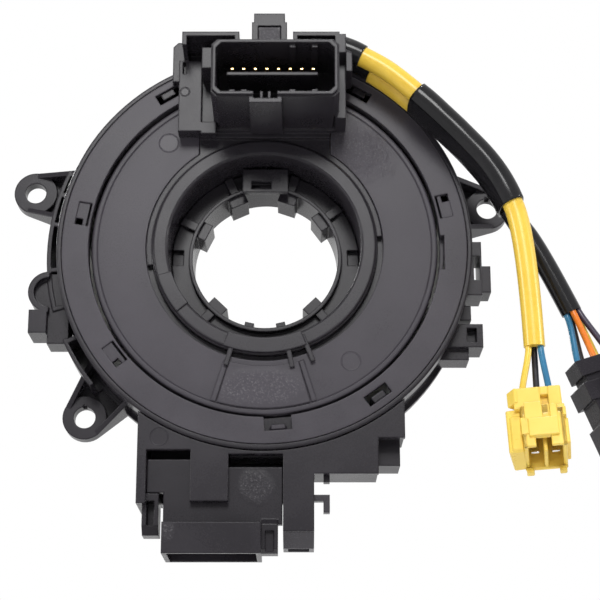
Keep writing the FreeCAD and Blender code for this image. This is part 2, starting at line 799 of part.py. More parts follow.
def collar_details():
    """Joint wedge, raised lower panel and the keepers that reach over the disc's inner edge."""
    collar_front = disc_front - collar_rise
    wedge = sector(collar_bore_r, collar_r - bite, wedge_start, wedge_end, collar_front - panel_rise,
                   disc_front)
    panel = sector(collar_bore_r, collar_r - edge_break, panel_start, panel_end, collar_front - panel_rise,
                   disc_front)
    angles = [panel_start + share * (panel_end - panel_start) for share in (0.1, 0.78, 1.0)]
    keepers = spokes(collar_bore_r + past, collar_top_r + fit_gap + keeper_reach, angles, keeper_wall,
                     collar_front - edge_break, disc_front - pad_rise - fit_gap)
    return [wedge, panel] + keepers


def socket_outline(inset):
    """Outline of the wheel-side socket with its cut corners, moved inwards by an inset."""
    left, right = socket_left + inset, socket_right - inset
    low, high = socket_bottom + inset, socket_top - inset
    cut = socket_corner
    return [(left, low + cut), (left + cut, low), (right - cut, low), (right, low + cut),
            (right, high - cut), (right - cut, high), (left + cut, high), (left, high - cut)]


def wheel_socket():
    """Shroud round the eight pins, with a stepped mouth, the ribbed key way and the shelf under the pins."""
    floor = block_floor - socket_floor_thick
    key_low = socket_bottom - key_drop
    key_right_wall = key_right - socket_wall
    key_left_wall = key_left + socket_wall
    key = block(key_left, key_right, socket_front + socket_lip, block_floor, key_low,
                socket_bottom + socket_wall)
    shroud = slab(socket_outline(0), socket_front + socket_lip, block_floor)
    lip = slab(socket_outline(socket_lip_inset), socket_front, socket_front + socket_lip)
    cavity = slab(socket_outline(socket_wall), socket_front - past, floor)
    key_way = block(key_left_wall, key_right_wall, socket_front - past, floor, key_low + socket_wall,
                    socket_bottom + 2 * socket_wall)
    slot_top = socket_top - 2.1
    side_slots = block(socket_left - past, socket_right + past, socket_front + 1.2, socket_front + 4.2,
                       slot_top - 2.0, slot_top)
    shell = fuse(shroud, [key, lip]).cut([cavity, key_way, side_slots])
    pitch = (key_right_wall - key_left_wall) / 3
    ribs = [block(key_left_wall + i * pitch - 0.35, key_left_wall + i * pitch + 0.35, socket_front + past,
                  floor, key_low + 0.5 * socket_wall, socket_bottom + socket_wall + 0.4) for i in (1, 2)]
    low, high = socket_bottom + 0.5 * socket_wall, socket_top - 0.5 * socket_wall
    ribs += [block(x, x + socket_rib, socket_front + past, floor, low, low + socket_rib)
             for x in (-8.0, -5.2, 6.0, 11.2)]
    ribs += [block(x, x + socket_rib, socket_front + past, floor, high - socket_rib, high)
             for x in (6.0, 11.2)]
    shelf_top = wheel_pin_height - 0.5 * pin_size - fit_gap
    shelf = block(shelf_left, shelf_right, shelf_front, floor, shelf_top - shelf_thick, shelf_top)
    return fuse(shell, ribs + [shelf])


def top_pockets():
    """Thin walled pockets along the block's top, open to the front, and the bridge between them."""
    walls = []
    for (left, right), low in ((left_top_pocket, pillar_top), (right_top_pocket, socket_top + fit_gap)):
        outer = block(left, right, pocket_lip, block_floor, low, block_top)
        walls.append(outer.cut(block(left + block_wall, right - block_wall, pocket_lip - past, block_floor,
                                     low - past, block_top - block_wall)))
    walls.append(block(left_top_pocket[1], right_top_pocket[0], pocket_lip + 4 * past, block_floor,
                       block_top - 1.6, block_top - 1.6 + top_bridge_thick))
    return walls


def latch_tower():
    """Upright frame on the block's top that the wheel-side plug's arm hooks behind."""
    frame = block(tower_left, tower_right, tower_front, block_floor, block_top - past, tower_top)
    gap = block(tower_left + tower_leg, tower_right - tower_leg, tower_front - past, tower_front + 1.6,
                block_top - 2 * past, tower_top - tower_bar)
    bar_low = tower_top - 0.7 * tower_bar
    side_cuts = [block(x - tower_inset, x + tower_inset, tower_front - past, block_floor + past, bar_low,
                       tower_top + past) for x in (tower_left, tower_right)]
    return frame.cut([gap] + side_cuts)


def lead_holes():
    """Cutters along the two leads where they leave the block."""
    start, end = SHARED_ROUTE[0], SHARED_ROUTE[1]
    way = Vector(end[0] - start[0], 0, end[1] - start[1]).normalize()
    starts = [Vector(start[0], depth, start[1]) for depth in (front_lead_depth, rear_lead_depth)]
    return [Part.makeCylinder(lead_hole_r, 12 * past, point - way * hole_end_gap, way) for point in starts]


def connector_block():
    """Solids of the block: back slab, base in the disc's notch, pillars, ribs and side wall."""
    low = socket_bottom - bite
    wall_left = block_right - side_wall
    top_left = left_top_pocket[0]
    back = slab([(pillar_left, pillar_bottom), (socket_left, pillar_bottom), (socket_left, low),
                 (wall_left, low), (wall_left, side_wall_bottom), (block_right, side_wall_bottom),
                 (block_right, block_top), (top_left, block_top), (top_left, pillar_top),
                 (pillar_left, pillar_top)], block_floor, block_back)
    base = block(base_left, base_right, block_back, disc_back, base_bottom, base_top)
    base = base.cut(block(base_left - past, base_right + past, block_back - past, disc_front,
                          base_bottom - past, pillar_bottom))
    apron = block(base_left, base_right, disc_front, disc_back, base_bottom - past, base_bottom + 8 * past)
    pillar = block(pillar_left, pillar_left + pillar_width, pillar_front, block_floor, pillar_bottom,
                   pillar_top)
    pillar_slot = block(pillar_left + 0.9, pillar_left + 1.7, pillar_front - past, pillar_front + 1.5,
                        pillar_top - 3.5, pillar_top - 0.4)
    tab_left, tab_top = pillar_left - rear_tab_width, block_top + 2.2
    rear_tab = slab([(tab_left, tab_top - 10.3), (pillar_left, tab_top - 10.3), (pillar_left, block_top - 3.0),
                     (top_left, block_top - 3.0), (top_left, tab_top), (tab_left + 1.2, tab_top),
                     (tab_left, tab_top - 1.2)], block_floor - 0.4, block_back)
    upper_rib = block(-15.0, -12.6, -29.0, block_floor, socket_top - 2.6, pillar_top + 0.5)
    low_rib = block(-15.3, socket_left + bite, pillar_front, block_floor, pillar_bottom - 0.6,
                    pillar_bottom + 2.4)
    wall = side_profile([(pocket_lip, block_top - 0.6), (pocket_lip, socket_top + 0.3),
                         (side_wall_front, socket_top - 1.0), (side_wall_front, side_wall_bottom),
                         (block_floor, side_wall_bottom), (block_floor, block_top - 0.6)],
                        wall_left, block_right)
    return [back, base, apron, pillar.cut(pillar_slot), rear_tab, upper_rib, low_rib, wall]


def hub_block():
    """Hub tube and collar moulded with the connector block."""
    wide_collar = sector(collar_r - past, collar_top_r, collar_split_right, collar_split_left,
                         disc_front, disc_back)
    hub = fuse(revolve(hub_section()), [wide_collar] + collar_details() + connector_block()
               + [wheel_socket(), latch_tower()] + top_pockets())
    bore = drum(collar_bore_r, socket_front, past)
    return hub.cut([bore] + lead_holes() + wheel_pin_solids(pin_size + 2 * fit_gap, block_floor))


def wheel_pin_solids(size, back):
    """Solids of the eight pins, or of the holes that hold them when the size is larger."""
    half = 0.5 * size
    places = [wheel_pin_first + i * wheel_pin_pitch for i in range(wheel_pin_count)]
    return [block(x - half, x + half, wheel_pin_front, back, wheel_pin_height - half, wheel_pin_height + half)
            for x in places]


def wheel_pins():
    """Eight gold contacts of the wheel-side socket."""
    return Part.makeCompound(wheel_pin_solids(pin_size, block_floor))


def rotor_lead_block():
    """Moulded block behind the hub's flange that takes the cable's inner end."""
    back = shoulder_front - fit_gap
    low = journal_r - 2 * past
    foot = block(-0.5 * lead_block_width, 0.5 * lead_block_width, flange_back, back, low, cable_start_r)
    foot = foot.common(drum(cable_start_r - 0.5 * cable_thick - fit_gap, flange_back, back))
    plate = block(-10.0, 13.5, flange_back, flange_back + 1.6, low, disc_r - 5 * past)
    return fuse(foot, [plate]).cut(drum(journal_r + fit_gap, drum_front, past))


def front_slide_sheet():
    """Low-friction film on the disc's back face."""
    outer_r = disc_r - disc_skirt - sheet_gap
    return ring(outer_r - front_sheet_width, outer_r, disc_back, disc_back + sheet_thick)


def cancel_sleeve():
    """Sleeve with claws that snaps into the hub from behind and captures the rear plate."""
    outer_r = collar_bore_r - fit_gap
    inner_r = outer_r - sleeve_wall
    web_back = sleeve_web_front + sleeve_web_thick
    flange_front_y = stator_back + running_gap
    flange_back_y = flange_front_y + sleeve_flange_thick
    sleeve = revolve([(sleeve_bore_r, sleeve_front), (sleeve_ring_r, sleeve_front),
                      (sleeve_ring_r, sleeve_web_front), (outer_r, sleeve_web_front),
                      (outer_r, flange_front_y), (sleeve_flange_r, flange_front_y),
                      (sleeve_flange_r, flange_back_y), (inner_r, flange_back_y), (inner_r, web_back),
                      (sleeve_ring_r, web_back), (sleeve_ring_r, sleeve_ring_back),
                      (sleeve_bore_r, sleeve_ring_back)])
    claw_r = sleeve_bore_r - claw_reach
    claw_front, claw_back = sleeve_front + 1.2, sleeve_ring_back - 2.0
    claws = spokes(claw_r, sleeve_ring_r - 0.2, wide_claw_angles, wide_claw, claw_front, claw_back)
    claws += spokes(claw_r + past, sleeve_ring_r - 0.2, narrow_claw_angles, narrow_claw, claw_front,
                    claw_back)
    struts = spokes(sleeve_ring_r - 0.2, outer_r - fit_gap, wide_claw_angles, 0.5 * wide_claw,
                    sleeve_web_front - 1.5, sleeve_web_front + bite)
    half = tongue_half_width
    tongue_back = tongue_front + tongue_thick
    tongue = block(-half, half, tongue_front, tongue_back, sleeve_bore_r - 1.7, outer_r - 0.9)
    stem = block(-half, half, tongue_front, sleeve_web_front + bite, sleeve_ring_r, sleeve_ring_r + 1.6)
    slot = block(-0.6 * half, 0.25 * half, tongue_front - past, tongue_back + bite, sleeve_bore_r - 0.8,
                 sleeve_bore_r + 1.3)
    recesses = spokes(sleeve_ring_r + 1.5, outer_r + past, side_recess_angles, side_recess_width,
                      sleeve_web_front - past, sleeve_web_front + side_recess_depth)
    return fuse(sleeve, claws + struts + [tongue, stem]).cut(recesses + [slot])


def route(flat_points, depth):
    """Points of a lead in space from its (x, z) points at one depth."""
    return [Vector(x, depth, z) for x, z in flat_points]


def route_edges(points):
    """Straight runs joined by tangent arcs, with the arcs' radii."""
    edges, radii = [], []
    start = points[0]
    for before, corner, after in zip(points, points[1:], points[2:]):
        incoming, outgoing = (corner - before), (after - corner)
        shorter = min(incoming.Length, outgoing.Length)
        incoming.normalize()
        outgoing.normalize()
        half_turn = 0.5 * incoming.getAngle(outgoing)
        back_off = 0.45 * shorter
        radii.append(back_off / math.tan(half_turn))
        arc_start, arc_end = corner - incoming * back_off, corner + outgoing * back_off
        inward = (outgoing - incoming).normalize()
        middle = corner + inward * radii[-1] * (1 / math.cos(half_turn) - 1)
        edges.append(Part.LineSegment(start, arc_start).toShape())
        edges.append(Part.Arc(arc_start, middle, arc_end).toShape())
        start = arc_end
    edges.append(Part.LineSegment(start, points[-1]).toShape())
    return edges, radii


def tube(points, radius, name):
    """Plain round solid along a route, with its radii printed and its volume compared."""
    edges, radii = route_edges(points)
    path = Part.Wire(edges)
    section = Part.Wire(Part.makeCircle(radius, points[0], points[1] - points[0]))
    solid = path.makePipeShell([section], True, False)
    expected = math.pi * radius ** 2 * path.Length
    print(name, "length", round(path.Length, 1), "radii", [round(r, 1) for r in radii],
          "volume share", round(solid.Volume / expected, 4))
    return solid


def lead_points(tail, depth):
    """Whole route of a lead at its depth."""
    return route(SHARED_ROUTE + tail, depth)


def yellow_lead_tube():
    """Front lead, from the block to the yellow plug's wires."""
    return tube(lead_points(FRONT_TAIL, front_lead_depth), lead_r, "yellow_lead_tube")


def black_lead_tube():
    """Rear lead, from the block to the black plug's wires."""
    return tube(lead_points(REAR_TAIL, rear_lead_depth), lead_r, "black_lead_tube")


def stretch(points, begin, end):
    """Part of a route between two lengths from its start, as a wire, its first point and direction."""
    pieces = []
    done = 0.0
    for edge in route_edges(points)[0]:
        first, last = max(begin, done), min(end, done + edge.Length)
        if last - first > 1e-6:
            limits = [edge.getParameterByLength(min(length - done, edge.Length)) for length in (first, last)]
            pieces.append(edge.Curve.toShape(*limits))
        done += edge.Length
    start = pieces[0].valueAt(pieces[0].FirstParameter)
    return Part.Wire(pieces), start, pieces[0].tangentAt(pieces[0].FirstParameter)


def sleeve_along(points, begin, end, wall):
    """Round sleeve of a wall thickness that follows a lead between two lengths."""
    path, start, along = stretch(points, begin, end)
    inner = lead_r + binding_gap
    outside, inside = [path.makePipeShell([Part.Wire(Part.makeCircle(r, start, along))], True, False)
                       for r in (inner + wall, inner)]
    return outside.cut(inside)


def yellow_lead_boot():
    """Black boot on the front lead, next to the block."""
    return sleeve_along(lead_points(FRONT_TAIL, front_lead_depth), boot_from, boot_to, boot_wall)


def black_lead_wrap():
    """Yellow marker sleeve on the rear lead, above the binding sleeve."""
    return sleeve_along(lead_points(REAR_TAIL, rear_lead_depth), wrap_from, wrap_to, boot_wall)


def oval_wire(centre, normal, radius, half_spread):
    """Flattened section: two half circles one behind the other, joined by straight sides."""
    side = normal.cross(Vector(0, 1, 0)).normalize() * radius
    front, back = centre - Vector(0, half_spread, 0), centre + Vector(0, half_spread, 0)
    nose = Vector(0, radius, 0)
    return Part.Wire([Part.Arc(front + side, front - nose, front - side).toShape(),
                      Part.makeLine(front - side, back - side),
                      Part.Arc(back - side, back + nose, back + side).toShape(),
                      Part.makeLine(back + side, front + side)])


def binding_sleeve():
    """Sleeve of flattened section that holds both leads one behind the other."""
    middle_depth = 0.5 * (front_lead_depth + rear_lead_depth)
    half_spread = 0.5 * (rear_lead_depth - front_lead_depth)
    path, start, along = stretch(lead_points(FRONT_TAIL, middle_depth), binding_from, binding_to)
    inner = lead_r + binding_gap
    outside, inside = [path.makePipeShell([oval_wire(start, along, r, half_spread)], True, False)
                       for r in (inner + binding_wall, inner)]
    return outside.cut(inside)


def place(shape, at, turn):
    """A plug piece turned by (yaw, pitch, roll) and moved to where the plug hangs."""
    yaw, pitch, roll = turn
    rotation = (FreeCAD.Rotation(Vector(0, 1, 0), roll) * FreeCAD.Rotation(Vector(1, 0, 0), pitch)
                * FreeCAD.Rotation(Vector(0, 0, 1), yaw))
    moved = shape.copy()
    moved.Placement = FreeCAD.Placement(Vector(*at), rotation)
    return moved


def symmetric(half_width, front, back, bottom, top):
    """Rectangular solid centred on x = 0."""
    return block(-half_width, half_width, front, back, bottom, top)


def yellow_plug():
    """Two-way plug: thin rear block, deeper nose with its wing, latch tongue and mating sockets."""
    half, thick, length = yellow_half_width, 0.5 * yellow_thick, yellow_length
    step = yellow_neck + 2.2
    rear_front_y = 0.6 - thick
    rear = symmetric(half - 0.3, rear_front_y, rear_front_y + yellow_rear_thick, -yellow_neck - bite, 0)
    front = symmetric(half, -thick, thick, -length, -yellow_neck)
    wing = block(half, half + 0.6, 1.4 - thick, thick - 1.5, 1.6 - length, -step)
    tongue = block(-3.0, 3.4, -thick - yellow_tongue_rise, -thick, 2.0 - length, -step)
    body = fuse(rear, [front, wing, tongue])
    sockets = [symmetric(0.5 * yellow_socket, 3.0 - thick, thick - yellow_wall, -length - past,
                         -0.5 * length).translate(Vector(way * yellow_socket_offset, 0, 0)) for way in (-1, 1)]
    slot = symmetric(0.5 * yellow_socket, -thick - 2 * past, 3.1 - thick, -length - past, 2.3 - length)
    windows = [block(-0.4, 1.1, -thick - past, 2.2 - thick, -3.8, -2.3),
               block(-0.4, 1.1, -thick - past, 1.4 - thick, 0.3 - step, 0.2 - yellow_neck)]
    notches = [block(half - 1.4, half + past, -thick - past, 2.0 - thick, -step, -0.5 - yellow_neck),
               block(half - 1.0, half + past, -thick - past, 1.2 - thick, -length + 3.0, -length + 4.0)]
    return place(body.cut(sockets + [slot] + notches + windows), yellow_plug_at, yellow_plug_turn)


def yellow_plug_lock():
    """Retainer plate on the plug's left side."""
    thick = 0.5 * yellow_thick
    plate = side_profile([(past - thick, -yellow_neck - 0.4), (thick + 0.6, -yellow_neck + 0.8),
                          (thick + 0.6, -yellow_length + 0.8), (past - thick, -yellow_length)],
                         -yellow_half_width - yellow_lock_thick, -yellow_half_width)
    return place(plate, yellow_plug_at, yellow_plug_turn)


def yellow_plug_terminals():
    """Two blade contacts inside the plug's sockets."""
    blades = [block(way * yellow_socket_offset - past, way * yellow_socket_offset + past, 0.6, 1.1,
                    -yellow_length + 2.4, -0.5 * yellow_length) for way in (-1, 1)]
    return place(Part.makeCompound(blades), yellow_plug_at, yellow_plug_turn)


def black_plug():
    """Multi-way plug in steps: rear block, collar, shaft and nose with its cavity."""
    half, thick = black_half_width, 0.5 * black_thick
    neck_at = -black_rear
    collar_at = neck_at - black_neck
    shaft_at = collar_at - black_collar
    nose_at = shaft_at - black_shaft
    reach = thick + black_back_reach
    rear = symmetric(half, -thick, thick, neck_at, 0)
    neck = symmetric(half - 1.2, 0.9 - thick, thick, collar_at - bite, neck_at + bite)
    collar = symmetric(half + 0.4, -thick, reach, shaft_at, collar_at)
    shaft = symmetric(half - 0.7, 0.6 - thick, reach - 0.8, nose_at, shaft_at)
    nose = symmetric(half + 0.3, -thick, reach - 0.4, -black_length, nose_at)
    cavity = symmetric(half + 0.3 - black_wall, black_wall - thick, reach - 0.4 - black_wall,
                       -black_length - past, nose_at + past)
    return place(fuse(rear, [neck, collar, shaft, nose]).cut(cavity), black_plug_at, black_plug_turn)


def black_plug_lock():
    """Latch arm that stands on the black plug's front."""
    front = -0.5 * black_thick
    root = -black_rear - black_neck
    tip = -black_length + 0.5 * black_nose
    arm = side_profile([(front - 1.5, root - past), (front, root), (front, tip), (front - 0.9, tip - 0.6),
                        (front - 1.9, tip + 2.0), (front - 1.0, tip + 7.0)], -2.0, 2.0)
    return place(arm, black_plug_at, black_plug_turn)


def black_plug_terminals():
    """Row of blade contacts inside the black plug's nose."""
    floor = -black_length + black_nose + past
    blades = [block(x - 0.4, x + 0.4, 0.3, 0.9, floor - 5.0, floor) for x in (-3.6, -1.8, 0.0, 1.8, 3.6)]
    return place(Part.makeCompound(blades), black_plug_at, black_plug_turn)


def loose_wires(tail, depth, solids, at, turn, fan, entries):
    """Single wires from a tube's end to a plug's rear face, one solid each."""
    points = lead_points(tail, depth)
    along = (points[-1] - points[-2]).normalize()
    side = along.cross(Vector(0, 1, 0)).normalize()
    wires = []
    for (across, back), (plug_x, plug_y) in zip(fan, entries):
        start = points[-1] + side * across + Vector(0, back, 0) - along * bite
        end = place(Part.Vertex(plug_x, plug_y, -bite), at, turn).Point
        wires.append(Part.makeCylinder(wire_r, (end - start).Length, start, end - start).cut(solids))
    return Part.makeCompound(wires)


def yellow_lead_wires():
    """Yellow, black and blue wires between the front tube and the yellow plug."""
    entry = 0.5 * (yellow_rear_thick - yellow_thick) + 0.6
    return loose_wires(FRONT_TAIL, front_lead_depth, [yellow_lead_tube(), yellow_plug()], yellow_plug_at,
                       yellow_plug_turn, [(-1.3, -0.6), (0.0, 0.9), (1.3, -0.6)],
                       [(-3.3, entry), (0.0, entry), (2.8, entry)])


def black_lead_wires():
    """Five wires between the rear tube and the black plug."""
    return loose_wires(REAR_TAIL, rear_lead_depth, [black_lead_tube(), black_plug()], black_plug_at,
                       black_plug_turn, [(-1.5, -0.5), (-0.6, 1.3), (0.0, -1.4), (1.5, -0.5), (1.0, 1.2)],
                       [(-4.2, -0.6), (-2.0, 1.6), (-0.2, -1.4), (4.4, -0.6), (2.2, 1.6)])


def lead_clamp():
    """Saddle on the block's side that the two leads rest in where they come out."""
    plate = block(block_right, block_right + saddle_thick, pocket_lip + past, block_floor, block_top - 9.8,
                  block_top - 3.4)
    return plate.cut(lead_holes())


def write(name, shape):
    """Write one node and print its solids, so that a broken one shows."""
    print(name, len(shape.Solids), "solids, valid", shape.isValid(), "volume", round(shape.Volume, 1))
    shape.exportStep("parts/" + name + ".step")


def main():
    """Build every node and write it to the parts folder."""
    os.makedirs("parts", exist_ok=True)
    builders = [stator_case, front_ring, rear_plate, housing_cover, connector_housing, column_socket,
                column_pins, switch_header, switch_pins, stator_lead_block, rear_slide_sheet, flat_cable,
                rotor_disc, hub_block, wheel_pins, rotor_lead_block, front_slide_sheet, cancel_sleeve,
                lead_clamp, yellow_lead_tube, black_lead_tube, yellow_lead_boot, black_lead_wrap,
                binding_sleeve, yellow_lead_wires, black_lead_wires, yellow_plug, yellow_plug_lock, yellow_plug_terminals,
                black_plug, black_plug_lock, black_plug_terminals]
    for builder in builders:
        write(builder.__name__, builder())


main()
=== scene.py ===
"""Looks of the steering clock spring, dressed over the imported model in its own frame.

Metres, +Z up. The steering axis is the Y axis, the wheel side is -Y, and the backs of the three
screw ears lie in the plane y = 0. Sizes given in millimetres are named so and are turned into
metres with MM.
"""

from __future__ import annotations

import json
import logging
import math
from dataclasses import dataclass
from enum import Enum
from typing import Any, Callable, Optional, Sequence, Union

import bpy
import numpy as np
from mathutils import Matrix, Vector

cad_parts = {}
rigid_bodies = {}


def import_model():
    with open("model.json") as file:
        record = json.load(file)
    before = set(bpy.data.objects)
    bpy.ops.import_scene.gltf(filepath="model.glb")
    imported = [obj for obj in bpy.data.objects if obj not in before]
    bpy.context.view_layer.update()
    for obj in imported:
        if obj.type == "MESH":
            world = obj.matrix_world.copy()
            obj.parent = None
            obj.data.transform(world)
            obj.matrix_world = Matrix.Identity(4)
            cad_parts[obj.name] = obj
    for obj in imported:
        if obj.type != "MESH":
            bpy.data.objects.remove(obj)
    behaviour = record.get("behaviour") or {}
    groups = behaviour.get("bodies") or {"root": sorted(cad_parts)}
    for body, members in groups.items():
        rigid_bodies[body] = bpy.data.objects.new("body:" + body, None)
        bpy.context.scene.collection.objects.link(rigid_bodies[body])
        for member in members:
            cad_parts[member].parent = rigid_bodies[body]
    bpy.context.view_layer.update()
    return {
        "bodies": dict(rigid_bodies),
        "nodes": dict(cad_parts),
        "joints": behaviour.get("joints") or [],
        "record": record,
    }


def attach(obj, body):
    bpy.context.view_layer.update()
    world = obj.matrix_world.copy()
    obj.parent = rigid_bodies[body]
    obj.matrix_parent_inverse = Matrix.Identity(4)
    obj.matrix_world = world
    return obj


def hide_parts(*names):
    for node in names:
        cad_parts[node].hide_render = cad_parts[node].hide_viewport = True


MM = 0.001
UM = 1e-6
DEPTH = np.array([0.0, 1.0, 0.0])
LOG = logging.getLogger("clock_spring")

Colour = tuple[float, float, float]
Place = tuple[float, float, float]
Array = np.ndarray
Piece = bpy.types.Object
Socket = bpy.types.NodeSocket
Material = bpy.types.Material
Faces = Sequence[Sequence[int]]
Blocks = list[tuple[float, ...]]


class Body(Enum):
    """The two bodies that pieces ride on."""

    STATOR = "stator"
    ROTOR = "rotor"


# Shader graph helpers


class Signal:
    """A number socket in a node tree whose operators add Math nodes."""

    def __init__(self, graph: Graph, socket: Socket) -> None:
        """Wrap a socket.

        Args:
            graph: The graph that the socket is in.
            socket: An output that carries a number.
        """
        self.graph = graph
        self.socket = socket

    def __add__(self, other: Value) -> Signal:
        """Sum."""
        return self.graph.math("ADD", self, other)

    __radd__ = __add__

    def __sub__(self, other: Value) -> Signal:
        """Difference."""
        return self.graph.math("SUBTRACT", self, other)

    def __rsub__(self, other: Value) -> Signal:
        """Difference with the operands the other way round."""
        return self.graph.math("SUBTRACT", other, self)

    def __mul__(self, other: Value) -> Signal:
        """Product."""
        return self.graph.math("MULTIPLY", self, other)

    __rmul__ = __mul__

    def __truediv__(self, other: Value) -> Signal:
        """Quotient."""
        return self.graph.math("DIVIDE", self, other)

    def abs(self) -> Signal:
        """Size without its sign."""
        return self.graph.math("ABSOLUTE", self)

    def swing(self, amount: float) -> Signal:
        """What noise from 0 to 1 adds to a value that it moves both ways about its middle."""
        return amount * (self - 0.5)

    def ramp(self, low: float, high: float) -> Signal:
        """Smooth step from 0 at low to 1 at high; with low over high it falls instead."""
        settings = {"interpolation_type": "SMOOTHSTEP", "clamp": True}
        inputs = {0: self, 1: low, 2: high, 3: 0.0, 4: 1.0}
        return Signal(self.graph, self.graph.node("ShaderNodeMapRange", settings, inputs).outputs[0])


Value = Union[float, int, Signal]


class Graph:
    """Node tree of a material or a world, with one method that adds any node."""

    def __init__(self, owner: Union[Material, bpy.types.World]) -> None:
        """Start with an empty tree.

        Args:
            owner: What the tree belongs to.
        """
        owner.use_nodes = True
        self.owner = owner
        self.tree = owner.node_tree
        self.tree.nodes.clear()
        self._place: Optional[Socket] = None

    def node(self, kind: str, settings: dict[str, Any], inputs: dict[Any, Any]) -> bpy.types.Node:
        """Add a node.

        Args:
            kind: The node's type name.
            settings: Its own settings, which are set first.
            inputs: Values, colours or links by socket name or number.

        Returns:
            The new node.
        """
        node = self.tree.nodes.new(kind)
        for key, value in settings.items():
            setattr(node, key, value)
        for key, value in inputs.items():
            source = value.socket if isinstance(value, Signal) else value
            if isinstance(source, Socket):
                self.tree.links.new(source, node.inputs[key])
            else:
                node.inputs[key].default_value = source
        return node

    def math(self, operation: str, *values: Union[Value, Socket]) -> Signal:
        """Add a Math node fed by the values, in order."""
        node = self.node("ShaderNodeMath", {"operation": operation}, dict(enumerate(values)))
        return Signal(self, node.outputs[0])

    def place(self) -> Socket:
        """Object coordinates, in metres."""
        if self._place is None:
            self._place = self.node("ShaderNodeTexCoord", {}, {}).outputs["Object"]
        return self._place

    def axes(self) -> tuple[Signal, ...]:
        """The object coordinates as three numbers."""
        node = self.node("ShaderNodeSeparateXYZ", {}, {0: self.place()})
        return tuple(Signal(self, out) for out in node.outputs)

    def noise(self, scale: float, detail: float = 3.0, roughness: float = 0.55,
              stretch: Place = (1.0, 1.0, 1.0)) -> Signal:
        """Noise from 0 to 1 over the object coordinates.

        Args:
            scale: Features per metre.
            detail: Octaves.
            roughness: Weight of the finer octaves.
            stretch: How much each axis is scaled before the noise is read.

        Returns:
            The noise as a number.
        """
        mapped = self.node("ShaderNodeMapping", {}, {"Vector": self.place(), "Scale": stretch})
        inputs = {"Vector": mapped.outputs[0], "Scale": scale, "Detail": detail, "Roughness": roughness}
        return Signal(self, self.node("ShaderNodeTexNoise", {}, inputs).outputs[0])

    def length(self, first: Signal, second: Signal) -> Signal:
        """Length of the vector with two components."""
        return self.math("SQRT", first * first + second * second)

    def mix(self, factor: Value, *colours: Union[Colour, Socket]) -> Socket:
        """Colour that goes from the first to the second as the factor goes from 0 to 1."""
        first, second = (colour if isinstance(colour, Socket) else (*colour, 1.0) for colour in colours)
        inputs = {0: factor, 6: first, 7: second}
        return self.node("ShaderNodeMix", {"data_type": "RGBA"}, inputs).outputs[2]

    def bump(self, height: Signal, edge_mm: float = 0.0) -> Socket:
        """Normal bent by a height in metres, and rounded over near edges where a radius is given."""
        inputs: dict[str, Any] = {"Height": height, "Distance": 1.0, "Strength": 1.0}
        if edge_mm:
            bevel = self.node("ShaderNodeBevel", {"samples": 6}, {"Radius": edge_mm * MM})
            inputs["Normal"] = bevel.outputs[0]
        return self.node("ShaderNodeBump", {}, inputs).outputs[0]

    def surface(self, tint: Socket, rough: Value, **others: Any) -> Material:
        """Finish the material with one shader.

        Args:
            tint: Its colour.
            rough: Its roughness.
            others: What its other sockets get, with _ for the spaces in a name.

        Returns:
            The material.
        """
        inputs = {"Base Color": tint, "Roughness": rough}
        inputs.update({name.replace("_", " "): value for name, value in others.items()})
        shader = self.node("ShaderNodeBsdfPrincipled", {}, inputs)
        self.node("ShaderNodeOutputMaterial", {}, {0: shader.outputs[0]})
        return self.owner


# Finishes


@dataclass(frozen=True)
class Mark:
    """A round ejector mark on a flat face at a depth: a fine ring round a slightly sunk middle."""

    x_mm: float
    z_mm: float
    r_mm: float
    y_mm: float


@dataclass(frozen=True)
class Patch:
    """An oval area of a flat face at a depth, etched in the mould or wrinkled where the melt met; painted
    glints, and on etched areas painted sheen, lighten its colour.
    """

    x_mm: float
    z_mm: float
    half_x_mm: float
    half_z_mm: float
    y_mm: float
    etched: float = 1.0
    wrinkled: float = 0.0


